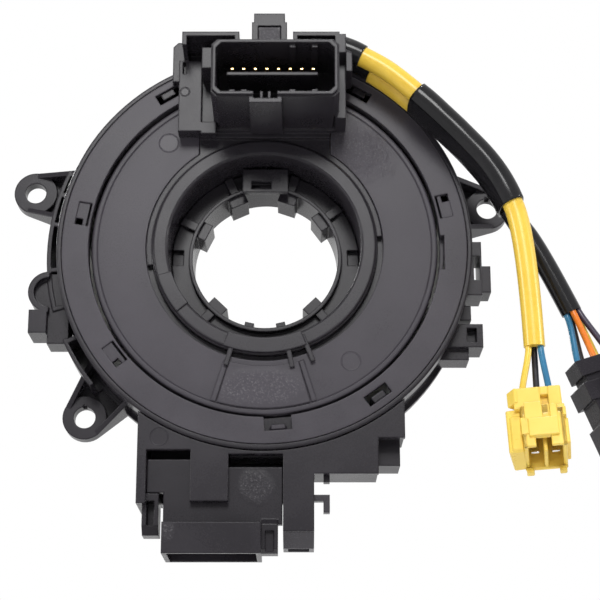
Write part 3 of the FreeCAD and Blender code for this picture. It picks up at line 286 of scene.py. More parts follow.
@dataclass(frozen=True)
class MouldedPlastic:
    """Filled plastic as it leaves the mould: fine grain, uneven sheen, rounded edges, marks and patches,
    with painted sheen on the etched patches and painted glints on etched and wrinkled ones.

    Each pair of millimetres says where a feature starts to show and where it is at its full.
    """

    name: str
    colour: Colour
    roughness: float = 0.28
    gloss: float = 0.15
    grain_um: float = 7.0
    edge_mm: float = 0.42
    marks: tuple[Mark, ...] = ()
    patches: tuple[Patch, ...] = ()
    level_mm: tuple[float, float] = (0.34, 0.24)
    ring_mm: tuple[float, float] = (0.20, 0.03)
    sunk_mm: tuple[float, float] = (0.05, 0.30)
    ring_um: float = 60.0
    sunk_um: float = 25.0
    pit_um: float = 110.0
    fold_um: float = 220.0
    # Colour of the painted glints: pale specks on etched and wrinkled areas.
    painted_glint_colour: Colour = (0.17, 0.165, 0.175)

    def _level(self, graph: Graph, y_mm: float) -> Signal:
        """1 on faces at a depth and 0 a third of a millimetre off it."""
        return (graph.axes()[1] - y_mm * MM).abs().ramp(*(off * MM for off in self.level_mm))

    def _pressed(self, graph: Graph) -> tuple[Value, Value]:
        """What the ejector marks add to the height, in metres, and to the roughness."""
        height: Value = 0.0
        sheen: Value = 0.0
        for mark in self.marks:
            x, _, z = graph.axes()
            away = graph.length(x - mark.x_mm * MM, z - mark.z_mm * MM)
            level = self._level(graph, mark.y_mm)
            edge = (away - mark.r_mm * MM).abs().ramp(*(off * MM for off in self.ring_mm))
            inside = away.ramp(*((mark.r_mm - off) * MM for off in self.sunk_mm)) * level
            height = height - edge * level * (self.ring_um * UM) - inside * (self.sunk_um * UM)
            sheen = sheen - inside * 0.05
        return height, sheen

    def _areas(self, graph: Graph, cloud: Signal) -> tuple[Value, Value]:
        """How far a point is in an etched area and in a wrinkled one, with edges uneven by the cloud."""
        x, _, z = graph.axes()
        etched: Value = 0.0
        wrinkled: Value = 0.0
        for patch in self.patches:
            across = (x - patch.x_mm * MM) / (patch.half_x_mm * MM)
            upward = (z - patch.z_mm * MM) / (patch.half_z_mm * MM)
            away = graph.length(across, upward) + cloud.swing(1.3)
            inside = away.ramp(1.10, 0.55) * self._level(graph, patch.y_mm)
            etched = etched + inside * patch.etched
            wrinkled = wrinkled + inside * patch.wrinkled
        return etched, wrinkled

    def material(self) -> Material:
        """Build the material."""
        graph = Graph(bpy.data.materials.new(self.name))
        cloud = graph.noise(70.0, detail=4.0)
        haze = graph.noise(24.0, roughness=0.5, stretch=(1.0, 1.0, 0.6))
        speck = graph.noise(2600.0, detail=2.0, roughness=0.7)
        streak = graph.noise(240.0, detail=5.0, roughness=0.62, stretch=(1.0, 1.0, 0.22))
        rough = self.roughness + cloud.swing(0.15) + speck.swing(0.10) + haze.swing(0.12)
        height = speck * (self.grain_um * UM) + streak * (0.4 * self.grain_um * UM)
        pressed, sheen = self._pressed(graph)
        height, rough = height + pressed, rough + sheen
        shade = (cloud * 0.5 + speck * 0.2 + haze * 0.3).ramp(0.30, 0.72)
        painted_glint: Value = 0.0
        if self.patches:
            etched, wrinkled = self._areas(graph, cloud)
            pits = graph.noise(1900.0, roughness=0.75)
            folds = graph.noise(1050.0, detail=4.0, roughness=0.66, stretch=(1.0, 1.0, 0.7))
            height = height + etched * pits * (self.pit_um * UM) + wrinkled * folds * (self.fold_um * UM)
            rough = rough + etched * 0.10
            # Painted sheen: etched areas are painted lighter, standing in for the light that their pits
            # scatter.
            shade = shade * 0.6 + etched * (0.2 + 0.5 * pits)
            # Painted glints: pale specks painted on etched areas, fainter on wrinkled ones.
            painted_glint = (etched + wrinkled * 0.5) * pits.ramp(0.50, 0.70) * 0.55
        light = tuple(min(1.0, channel * 1.5 + 0.006) for channel in self.colour)
        tint = graph.mix(painted_glint, graph.mix(shade, self.colour, light), self.painted_glint_colour)
        normal = graph.bump(height, self.edge_mm)
        return graph.surface(tint, rough, Normal=normal, Specular_IOR_Level=self.gloss)


@dataclass(frozen=True)
class SmoothPlastic:
    """Glossy coloured plastic with a faint waviness and a little colour depth."""

    name: str
    colour: Colour
    shade: Colour
    roughness: float = 0.30
    edge_mm: float = 0.25
    grain_um: float = 12.0
    wave_um: float = 60.0
    glow: float = 0.05
    glow_mm: float = 0.8

    def material(self) -> Material:
        """Build the material."""
        graph = Graph(bpy.data.materials.new(self.name))
        cloud = graph.noise(120.0, detail=4.0)
        fine = graph.noise(1500.0)
        tint = graph.mix(cloud.ramp(0.32, 0.70), self.shade, self.colour)
        rough = self.roughness + cloud.swing(0.14) + fine.swing(0.06)
        normal = graph.bump(fine * (self.grain_um * UM) + cloud * (self.wave_um * UM), self.edge_mm)
        return graph.surface(tint, rough, Normal=normal, Subsurface_Weight=self.glow,
                             Subsurface_Radius=(1.0, 0.6, 0.2), Subsurface_Scale=self.glow_mm * MM)


@dataclass(frozen=True)
class TubeSkin:
    """Extruded tube or insulation: lengthwise die lines, small scuffs and a soft gloss."""

    name: str
    colour: Colour
    shade: Colour
    roughness: float = 0.30
    line_um: float = 2.5
    gloss: float = 0.4
    wave_um: float = 40.0

    def material(self) -> Material:
        """Build the material."""
        graph = Graph(bpy.data.materials.new(self.name))
        soft = graph.noise(160.0, detail=4.0)
        scuff = graph.noise(900.0, detail=5.0, roughness=0.7)
        tint = graph.mix((soft * 0.6 + scuff * 0.4).ramp(0.30, 0.68), self.shade, self.colour)
        rough = self.roughness + scuff.swing(0.10) + soft.swing(0.10)
        normal = graph.bump(scuff * (self.line_um * UM) + soft * (self.wave_um * UM))
        return graph.surface(tint, rough, Normal=normal, Specular_IOR_Level=self.gloss)


@dataclass(frozen=True)
class ContactMetal:
    """Plated contact strip with fine drawing lines along its length."""

    name: str
    colour: Colour
    shade: Colour
    roughness: float = 0.25
    edge_mm: float = 0.08
    line_um: float = 6.0

    def material(self) -> Material:
        """Build the material."""
        graph = Graph(bpy.data.materials.new(self.name))
        lines = graph.noise(3000.0, roughness=0.6, stretch=(1.0, 0.06, 0.6))
        tint = graph.mix(graph.noise(500.0).ramp(0.3, 0.7), self.shade, self.colour)
        normal = graph.bump(lines * (self.line_um * UM), self.edge_mm)
        return graph.surface(tint, self.roughness + lines.swing(0.18), Metallic=1.0, Normal=normal)


@dataclass(frozen=True)
class Film:
    """Thin film with a soft sheen and a faint ripple."""

    name: str
    colour: Colour
    shade: Colour
    roughness: float = 0.35
    ripple_um: float = 80.0
    dust_um: float = 6.0

    def material(self) -> Material:
        """Build the material."""
        graph = Graph(bpy.data.materials.new(self.name))
        ripple = graph.noise(90.0)
        dust = graph.noise(2200.0, detail=2.0)
        tint = graph.mix((ripple * 0.7 + dust * 0.3).ramp(0.3, 0.7), self.shade, self.colour)
        normal = graph.bump(ripple * (self.ripple_um * UM) + dust * (self.dust_um * UM))
        return graph.surface(tint, self.roughness + ripple.swing(0.15), Normal=normal)


def paint(piece: Piece, material: Material) -> Piece:
    """Give a piece one material."""
    piece.data.materials.clear()
    piece.data.materials.append(material)
    return piece


BLACK_MARKS = (Mark(-19.3, 37.4, 1.10, -22.5), Mark(-14.3, 26.7, 1.0, -17.0),
               Mark(13.4, 28.4, 1.5, -20.15), Mark(-24.0, -46.5, 2.1, -17.2))
BLACK_PATCHES = (Patch(-1.4, -58.2, 4.4, 4.2, -14.6), Patch(-21.5, -68.0, 2.0, 4.0, -18.6, 0.7))
DISC_MARKS = (Mark(20.4, -28.4, 2.25, -17.0), Mark(-23.3, 26.3, 2.35, -17.0))
DISC_PATCHES = (Patch(22.5, 23.5, 9.0, 8.5, -17.0, 0.10, 1.0), Patch(-0.5, -35.0, 11.0, 4.6, -17.5, 1.0))
TOWER_PATCHES = (Patch(1.05, 51.4, 2.9, 2.3, -24.7, 1.0, 0.3),)

WIRE_FINISHES = (
    TubeSkin("wire_yellow", (0.83, 0.58, 0.08), (0.76, 0.51, 0.06)),
    TubeSkin("wire_black", (0.012, 0.011, 0.014), (0.008, 0.008, 0.010)),
    TubeSkin("wire_blue", (0.030, 0.180, 0.330), (0.020, 0.140, 0.270)),
    TubeSkin("wire_orange", (0.80, 0.220, 0.020), (0.70, 0.170, 0.014)),
    TubeSkin("wire_violet", (0.045, 0.035, 0.060), (0.032, 0.025, 0.045)),
)
SLOT_FINISHES = (
    MouldedPlastic("black_moulding", (0.0160, 0.0141, 0.0178), marks=BLACK_MARKS, patches=BLACK_PATCHES),
    MouldedPlastic("ring_moulding", (0.0390, 0.0355, 0.0425), roughness=0.30, gloss=0.12),
    MouldedPlastic("disc_moulding", (0.0440, 0.0400, 0.0480), roughness=0.30, gloss=0.11,
                   marks=DISC_MARKS, patches=DISC_PATCHES),
    MouldedPlastic("grey_moulding", (0.0420, 0.0390, 0.0450), patches=TOWER_PATCHES),
    ContactMetal("gold_contact", (0.90, 0.66, 0.25), (0.78, 0.53, 0.18)),
    ContactMetal("tinned_contact", (0.78, 0.77, 0.74), (0.62, 0.61, 0.58)),
    Film("slide_film", (0.78, 0.78, 0.74), (0.70, 0.70, 0.66)),
    Film("cable_film", (0.58, 0.33, 0.12), (0.46, 0.25, 0.09)),
    TubeSkin("yellow_tube", (0.83, 0.57, 0.075), (0.78, 0.51, 0.052), wave_um=18.0),
    TubeSkin("black_tube", (0.011, 0.0105, 0.012), (0.007, 0.007, 0.008), roughness=0.17, line_um=0.5,
             gloss=0.24, wave_um=9.0),
    SmoothPlastic("yellow_moulding", (0.86, 0.62, 0.110), (0.81, 0.57, 0.090)),
    TubeSkin("wire_set_front", (0.83, 0.58, 0.08), (0.76, 0.51, 0.06)),
    TubeSkin("wire_set_rear", (0.03, 0.17, 0.33), (0.02, 0.13, 0.27)),
)


class Finishes:
    """Every finish of the object: the record's slots, and the colours of the single wires."""

    def __init__(self) -> None:
        """Build the materials."""
        self.made = {finish.name: finish.material() for finish in WIRE_FINISHES + SLOT_FINISHES}

    def put(self, piece: Piece, slot: str, node: str = "") -> Piece:
        """Give a piece the finish of its slot.

        Args:
            piece: The piece.
            slot: The record's slot.
            node: The node that it stands in for, where there is one.

        Returns:
            The piece.
        """
        paint(piece, self.made[slot])
        if node:
            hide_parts(node)
        return piece

    def dress(self, frame: dict[str, Any]) -> None:
        """Give every node the finish that the record names for it.
        """
        for entry in frame["record"]["subparts"]:
            self.put(frame["nodes"][entry["node"]], entry["material_slot"])


# Mesh helpers


def new_object(name: str, data: bpy.types.ID) -> Piece:
    """Put data into a new object of the scene, at the origin."""
    made = bpy.data.objects.new(name, data)
    bpy.context.scene.collection.objects.link(made)
    return made


def mesh_object(name: str, points: Array, faces: Faces, body: Body = Body.ROTOR,
                smooth: bool = True) -> Piece:
    """Put points and faces into a new piece that rides on a body.

    Args:
        name: The piece's name.
        points: Corners as an array of shape (n, 3), in metres.
        faces: Corner numbers of each face.
        body: What the piece rides on.
        smooth: Whether the faces are shaded smooth.

    Returns:
        The new object.
    """
    mesh = bpy.data.meshes.new(name)
    mesh.from_pydata(points.tolist(), [], [list(map(int, face)) for face in faces])
    mesh.validate()
    mesh.polygons.foreach_set("use_smooth", [smooth] * len(mesh.polygons))
    piece = new_object(name, mesh)
    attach(piece, body.value)
    return piece


def outward(piece: Piece) -> Piece:
    """Turn a closed piece's faces outwards by the sign of its enclosed volume."""
    mesh = piece.data
    mesh.calc_loop_triangles()
    corners = np.empty(len(mesh.loop_triangles) * 3, np.int32)
    mesh.loop_triangles.foreach_get("vertices", corners)
    places = np.empty(len(mesh.vertices) * 3, np.float32)
    mesh.vertices.foreach_get("co", places)
    p = places.reshape(-1, 3)[corners.reshape(-1, 3)].astype(float)
    if np.einsum("ij,ij->i", p[:, 0], np.cross(p[:, 1], p[:, 2])).sum() < 0:
        mesh.flip_normals()
    return piece


def full_turn(steps: int) -> Array:
    """Evenly spaced angles round a circle, in radians."""
    return np.linspace(0, 2 * np.pi, steps, endpoint=False)


def tube_faces(rows: int, turns: int, ring: bool = False) -> Array:
    """Four-sided faces of a tube of points numbered row by row, where each row is a closed loop.

    Args:
        rows: How many rows of points.
        turns: How many points in a row.
        ring: Whether the last row joins the first.

    Returns:
        Corner numbers as an array of shape (faces, 4).
    """
    row, turn = np.arange(rows if ring else rows - 1)[:, None], np.arange(turns)[None, :]
    next_row, next_turn = (row + 1) % rows, (turn + 1) % turns
    corners = ((row, turn), (row, next_turn), (next_row, next_turn), (next_row, turn))
    return np.stack([r * turns + t for r, t in corners], -1).reshape(-1, 4)


def capped_faces(rows: int, turns: int) -> list[list[int]]:
    """Faces of a tube with a fan at each end, round two middle points that follow the rows."""
    turn = np.arange(turns)
    following, middle, last = (turn + 1) % turns, np.full(turns, rows * turns), (rows - 1) * turns
    first_fan = np.stack([middle, following, turn], -1)
    last_fan = np.stack([middle + 1, last + turn, last + following], -1)
    return tube_faces(rows, turns).tolist() + np.vstack([first_fan, last_fan]).tolist()


def repeated(faces: Faces, corners: int, times: int) -> list[list[int]]:
    """Faces of a shape with so many corners that is there several times, one after the other."""
    return [[corner + i * corners for corner in face] for i in range(times) for face in faces]


def carried(path: Array, a: Array, b: Array) -> Array:
    """Carry a section along a path: point = path(s) + a(s, t) side + b(s, t) up.

    Side and up are square to the path, and up is as near to the steering axis as that allows.

    Args:
        path: Points of shape (rows, 3), on a path that never runs along the steering axis.
        a: Sideward offsets, of shape (rows, turns) or (1, turns).
        b: Upward offsets, of the same shape.

    Returns:
        Points of shape (rows, turns, 3).
    """
    along = np.gradient(path, axis=0)
    along /= np.linalg.norm(along, axis=1)[:, None]
    side = np.cross(along, DEPTH)
    side /= np.linalg.norm(side, axis=1)[:, None]
    rise = np.cross(side, along)
    return path[:, None, :] + a[..., None] * side[:, None, :] + b[..., None] * rise[:, None, :]


def chamfered_box() -> tuple[Array, list[list[int]]]:
    """Signs, pull-ins and faces of a box with cut edges.

    Each of the eight corners becomes three points. Point k of a corner lies on the face across
    axis k, drawn in along the other two axes by the chamfer.

    Returns:
        An array of shape (24, 2, 3), the corner's signs and the axes that are drawn in, and the faces.
    """
    signs = [(x, y, z) for x in (-1, 1) for y in (-1, 1) for z in (-1, 1)]
    points = np.array([(sign, pulled) for sign in signs for pulled in 1 - np.eye(3)])
    step = (12, 6, 3)
    faces = []
    for k in range(3):
        u, v = (k + 1) % 3, (k + 2) % 3
        for side in (0, step[k]):
            faces.append([side + k, side + step[u] + k, side + step[u] + step[v] + k, side + step[v] + k])
        for low in (0, step[v], step[u], step[u] + step[v]):
            high = low + step[k]
            faces.append([low + u, high + u, high + v, low + v])
    faces += [[3 * i, 3 * i + 1, 3 * i + 2] for i in range(8)]
    middle = points[:, 0] - 0.2 * points[:, 0] * points[:, 1]
    for face in faces:
        first, second, third = (middle[corner] for corner in face[:3])
        if np.dot(np.cross(second - first, third - second), middle[face].mean(axis=0)) < 0:
            face.reverse()
    return points, faces


@dataclass(frozen=True)
class Moulding:
    """Blocks with cut edges that run into each other as the walls of one piece.

    Each block is given by its left, right, front, back, bottom and top in the piece's own
    millimetres, and turned takes points in those to places in metres. A corner is
    centre + sign (half - chamfer pulled), for every block at once.
    """

    name: str
    slot: str
    node: str
    limits_mm: Blocks
    chamfer_mm: float
    turned: Callable[[Array], Array]
    body: Body = Body.ROTOR

    def build(self, finishes: Finishes) -> Piece:
        """Make the piece, in place of its node where it has one."""
        template, faces = chamfered_box()
        limits = np.array(self.limits_mm, float).reshape(-1, 3, 2)
        centre, half = limits.mean(axis=2), 0.5 * (limits[:, :, 1] - limits[:, :, 0])
        cut = np.minimum(self.chamfer_mm, 0.4 * half.min(axis=1))[:, None, None]
        points = centre[:, None, :] + template[None, :, 0] * (half[:, None, :] - cut * template[None, :, 1])
        places = self.turned(points.reshape(-1, 3))
        every = repeated(faces, len(template), len(limits))
        piece = mesh_object(self.name, places, every, self.body, smooth=False)
        return finishes.put(piece, self.slot, self.node)


# Stage


@dataclass(frozen=True)
class Lamp:
    """Square soft lamp that faces the origin, with its side in metres and its power in watts."""

    name: str
    place: Place
    size: float
    power: float

    def hang(self) -> None:
        """Make the lamp."""
        data = bpy.data.lights.new(self.name, "AREA")
        data.size = self.size
        data.energy = self.power
        lamp = new_object(self.name, data)
        lamp.location = self.place
        lamp.rotation_euler = (-Vector(self.place)).to_track_quat("-Z", "Y").to_euler()


@dataclass
class Studio:
    """Camera at the photograph's viewing point, soft lamps, pale surroundings and floor.

    The key lamp is high in front; the others are narrow, and light the edges from the sides, from
    above and from behind.
    """

    distance_mm: float = 400.0
    target_mm: Place = (8.46, -18.0, -13.78)
    tilt_deg: float = 16.76
    focal_px: float = 1699.4
    frame_px: float = 600.0
    sensor_mm: float = 36.0
    nearest_mm: float = 20.0
    lamps: tuple[Lamp, ...] = (
        Lamp("key", (-0.02, -0.96, 0.46), 0.36, 7.2), Lamp("high", (0.10, -0.20, 1.0), 0.12, 4.0),
        Lamp("left", (-0.95, -0.26, 0.16), 0.12, 3.2), Lamp("right", (0.98, -0.30, 0.22), 0.12, 3.8),
        Lamp("behind", (-0.62, 0.72, 0.46), 0.34, 7.0))
    light_strength: float = 0.10
    seen_strength: float = 1.0
    floor_mm: float = -142.0
    floor_half_mm: float = 620.0
    floor_greys: tuple[float, float] = (0.84, 0.88)

    def camera(self) -> None:
        """Camera that looks along +Y and up by the tilt, from below the steering axis."""
        data = bpy.data.cameras.new("camera")
        data.sensor_width = self.sensor_mm
        data.lens = self.focal_px * self.sensor_mm / self.frame_px
        data.clip_start = self.nearest_mm * MM
        tilt = math.radians(self.tilt_deg)
        camera = new_object("camera", data)
        away = Vector((0, math.cos(tilt), math.sin(tilt))) * self.distance_mm
        camera.location = (Vector(self.target_mm) - away) * MM
        camera.rotation_euler = (math.radians(90 + self.tilt_deg), 0, 0)
        bpy.context.scene.camera = camera

    def surroundings(self) -> None:
        """White for the camera and in reflections, dimmer as light on the object."""
        world = bpy.data.worlds.new("surroundings")
        bpy.context.scene.world = world
        graph = Graph(world)
        path = graph.node("ShaderNodeLightPath", {}, {})
        seen = path.outputs["Is Camera Ray"]
        for ray in ("Is Glossy Ray", "Is Transmission Ray"):
            seen = graph.math("MAXIMUM", seen, path.outputs[ray]).socket
        inputs: dict[int, Any] = {0: seen}
        for socket, strength in ((1, self.light_strength), (2, self.seen_strength)):
            white = {"Color": (1.0, 1.0, 1.0, 1.0), "Strength": strength}
            inputs[socket] = graph.node("ShaderNodeBackground", {}, white).outputs[0]
        mixed = graph.node("ShaderNodeMixShader", {}, inputs)
        graph.node("ShaderNodeOutputWorld", {}, {"Surface": mixed.outputs[0]})

    def floor(self) -> None:
        """Pale floor, a little below the object and the camera."""
        half, height = self.floor_half_mm * MM, self.floor_mm * MM
        corners = [(x * half, y * half, height) for x, y in ((-1, -1), (1, -1), (1, 1), (-1, 1))]
        mesh = bpy.data.meshes.new("floor")
        mesh.from_pydata(corners, [], [(0, 1, 2, 3)])
        floor = new_object("floor", mesh)
        graph = Graph(bpy.data.materials.new("floor_paper"))
        low, high = ((grey, grey, grey) for grey in self.floor_greys)
        mesh.materials.append(graph.surface(graph.mix(graph.noise(30.0), low, high), 0.8))

    def build(self) -> None:
        """Make the whole stage."""
        bpy.context.scene.view_settings.view_transform = "Standard"
        self.camera()
        for lamp in self.lamps:
            lamp.hang()
        self.surroundings()
        self.floor()


# Leads


@dataclass
class Lead:
    """One free lead: a tube on its route."""

    name: str
    node: str
    route_mm: tuple[tuple[float, float], ...]
    depth_mm: float
    length_mm: float
    slot: str
    radius_mm: float = 2.45

    def curve(self) -> Piece:
        """Tube as one smooth spline whose control points are the route's points."""
        data = bpy.data.curves.new(self.name, "CURVE")
        data.dimensions = "3D"
        data.bevel_depth = self.radius_mm
        data.bevel_resolution = 7
        data.resolution_u = 24
        data.use_fill_caps = True
        spline = data.splines.new("NURBS")
        spline.points.add(len(self.route_mm) - 1)
        for point, (x, z) in zip(spline.points, self.route_mm):
            point.co = (x * MM, self.depth_mm * MM, z * MM, 1.0)
            point.radius = MM
        spline.order_u = 3
        spline.use_endpoint_u = True
        tube = new_object(self.name, data)
        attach(tube, Body.ROTOR.value)
        return tube

    def centreline(self, tube: Piece) -> Array:
        """Points read from the tube's own spline with no thickness, in order."""
        bare = tube.data.copy()
        bare.bevel_depth = 0.0
        bare.use_fill_caps = False
        holder = bpy.data.objects.new(self.name + "_line", bare)
        mesh = bpy.data.meshes.new_from_object(holder)
        points = np.empty(len(mesh.vertices) * 3, np.float32)
        mesh.vertices.foreach_get("co", points)
        bpy.data.objects.remove(holder)
        bpy.data.meshes.remove(mesh)
        bpy.data.curves.remove(bare)
        return points.reshape(-1, 3).astype(float)


SHARED_ROUTE_MM = ((18.1, 46.8), (23.3, 44.5), (32.1, 39.0), (48.6, 22.3), (55.6, 13.2))
FRONT_TAIL_MM = ((60.9, -0.2), (61.8, -27.8))
REAR_TAIL_MM = ((58.7, 5.4), (64.3, -2.2), (71.6, -18.1))


def stretch(line: Array, begin_mm: float, end_mm: float, rows: int) -> Array:
    """Points of a line between two lengths from its start, evenly spaced along it.

    Args:
        line: Points in metres, in order.
        begin_mm: Length at the first point.
        end_mm: Length at the last point.
        rows: How many points.

    Returns:
        Points of shape (rows, 3).
    """
    steps = np.linalg.norm(np.diff(line, axis=0), axis=1)
    along = np.concatenate([[0.0], np.cumsum(steps)])
    wanted = np.linspace(begin_mm, min(end_mm, along[-1] / MM), rows) * MM
    return np.stack([np.interp(wanted, along, line[:, axis]) for axis in range(3)], -1)


@dataclass(frozen=True)
class Sleeve:
    """Hollow sleeve on one or both leads.

    A point is path(s) + radius cos(t) side + (radius sin(t) + spread h(t)) depth, where h runs
    from -1 to 1 as the section goes from its front half to its back half. The radius is drawn in
    by pinch at both ends, and a ripple of sin(wave s + 2 t) sin(beat s + start) makes it uneven.
    The outer wall runs out along the path and the inner wall back, so both ends are closed lips.
    """

    name: str
    node: str
    slot: str
    begin_mm: float
    end_mm: float
    bore_mm: float = 2.6
    wall_mm: float = 0.3
    spread_mm: float = 0.0
    depth_mm: Optional[float] = None
    pinch: float = 0.03
    pinch_mm: float = 1.6
    ripple: float = 0.008
    wave_per_mm: float = 0.55
    beat_per_mm: float = 0.21
    beat_start: float = 0.9
    half_slope: float = 1.9
    turns: int = 56
    rows: int = 60

    def _wall(self, path: Array, radius_mm: float) -> Array:
        """Points of one wall, shape (rows, turns, 3)."""
        angle = full_turn(self.turns)[None, :]
        length = self.end_mm - self.begin_mm
        share = np.linspace(0, 1, len(path))[:, None]
        near_end = np.exp(-((np.minimum(share, 1 - share) * length / self.pinch_mm) ** 2))
        uneven = (np.sin(self.wave_per_mm * length * share + 2 * angle)
                  * np.sin(self.beat_per_mm * length * share + self.beat_start))
        radius = radius_mm * (1 - self.pinch * near_end + self.ripple * uneven)
        half = np.clip(self.half_slope * np.sin(angle), -1, 1)
        upward = radius * np.sin(angle) + self.spread_mm * half
        return carried(path, radius * np.cos(angle) * MM, upward * MM)

    def build(self, line: Array, finishes: Finishes) -> Piece:
        """Make the sleeve on a lead's centre line."""
        path = stretch(line, self.begin_mm, self.end_mm, self.rows)
        if self.depth_mm is not None:
            path[:, 1] = self.depth_mm * MM
        outer, inner = self._wall(path, self.bore_mm + self.wall_mm), self._wall(path, self.bore_mm)
        points = np.concatenate([outer, inner[::-1]])
        faces = tube_faces(len(points), self.turns, ring=True)
        piece = outward(mesh_object(self.name, points.reshape(-1, 3), faces))
        return finishes.put(piece, self.slot, self.node)


def rotation(axis: int, turn_deg: float) -> Array:
    """Matrix of a turn about the X, Y or Z axis, numbered from 0."""
    turn, (u, v) = np.radians(turn_deg), ((axis + 1) % 3, (axis + 2) % 3)
    matrix = np.eye(3)
    matrix[u, u] = matrix[v, v] = math.cos(turn)
    matrix[u, v], matrix[v, u] = -math.sin(turn), math.sin(turn)
    return matrix


@dataclass(frozen=True)
class Hanger:
    """Where a plug hangs: the middle of its rear face, and its turns about Z, then X, then Y."""

    at_mm: Place
    turn_deg: Place

    def turned(self, local: Sequence[float]) -> Array:
        """Directions in the plug's own axes as the object's, for one or an array of shape (3, n)."""
        about_z, about_x, about_y = (rotation(axis, turn) for axis, turn in zip((2, 0, 1), self.turn_deg))
        return about_y @ about_x @ about_z @ np.array(local, float)

    def places(self, local: Array) -> Array:
        """Points in the plug's own millimetres, of shape (3,) or (n, 3), as places in metres."""
        return (self.turned(np.array(local).T).T + np.array(self.at_mm)) * MM


@dataclass(frozen=True)
class Strand:
    """One wire: where it leaves the tube, where it enters the plug, and its finish."""

    colour: str
    across_mm: float
    back_mm: float
    entry_mm: tuple[float, float]


@dataclass(frozen=True)
class WireSet:
    """Single wires between a tube's end and a plug.

    Each follows the cubic through the tube's end and the plug's entry that leaves along the tube
    and arrives along the plug, with a round section carried along it. It starts inside the tube
    and ends inside the plug.
    """

    name: str
    node: str
    slot: str
    plug: Hanger
    strands: tuple[Strand, ...]
    radius_mm: float = 0.74
    in_tube_mm: tuple[float, float] = (3.0, 0.4)
    in_plug_mm: float = 1.0
    pull: float = 0.22
    rows: int = 40
    turns: int = 18

    def _path(self, strand: Strand, line: Array) -> Array:
        """Points of one wire on from a tube's centre line, shape (n, 3)."""
        along = line[-1] - line[-4]
        along = along / np.linalg.norm(along)
        start = line[-1] + (strand.across_mm * np.cross(along, DEPTH) + strand.back_mm * DEPTH) * MM
        end = self.plug.places((*strand.entry_mm, -self.in_plug_mm))
        pull = self.pull * np.linalg.norm(end - start)
        bends = [start, start + along * pull, end + self.plug.turned((0, 0, 1)) * pull, end]
        s = np.linspace(0, 1, self.rows)[:, None]
        curve = ((1 - s) ** 3 * bends[0] + 3 * s * (1 - s) ** 2 * bends[1] + 3 * s ** 2 * (1 - s) * bends[2]
                 + s ** 3 * bends[3])
        inside = start[None, :] - along * np.linspace(*self.in_tube_mm, 5)[:, None] * MM
        return np.concatenate([inside, curve])

    def build(self, line: Array, finishes: Finishes) -> list[Piece]:
        """Make every wire on from a tube's centre line."""
        angle = full_turn(self.turns)[None, :]
        across, upward = self.radius_mm * MM * np.cos(angle), self.radius_mm * MM * np.sin(angle)
        pieces = []
        for strand in self.strands:
            path = self._path(strand, line)
            points = np.vstack([carried(path, across, upward).reshape(-1, 3), path[:1], path[-1:]])
            faces = capped_faces(len(path), self.turns)
            wire = mesh_object(f"{self.name}_{strand.colour}_{len(pieces)}", points, faces)
            pieces.append(paint(outward(wire), finishes.made[f"wire_{strand.colour}"]))
        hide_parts(self.node)
        return pieces


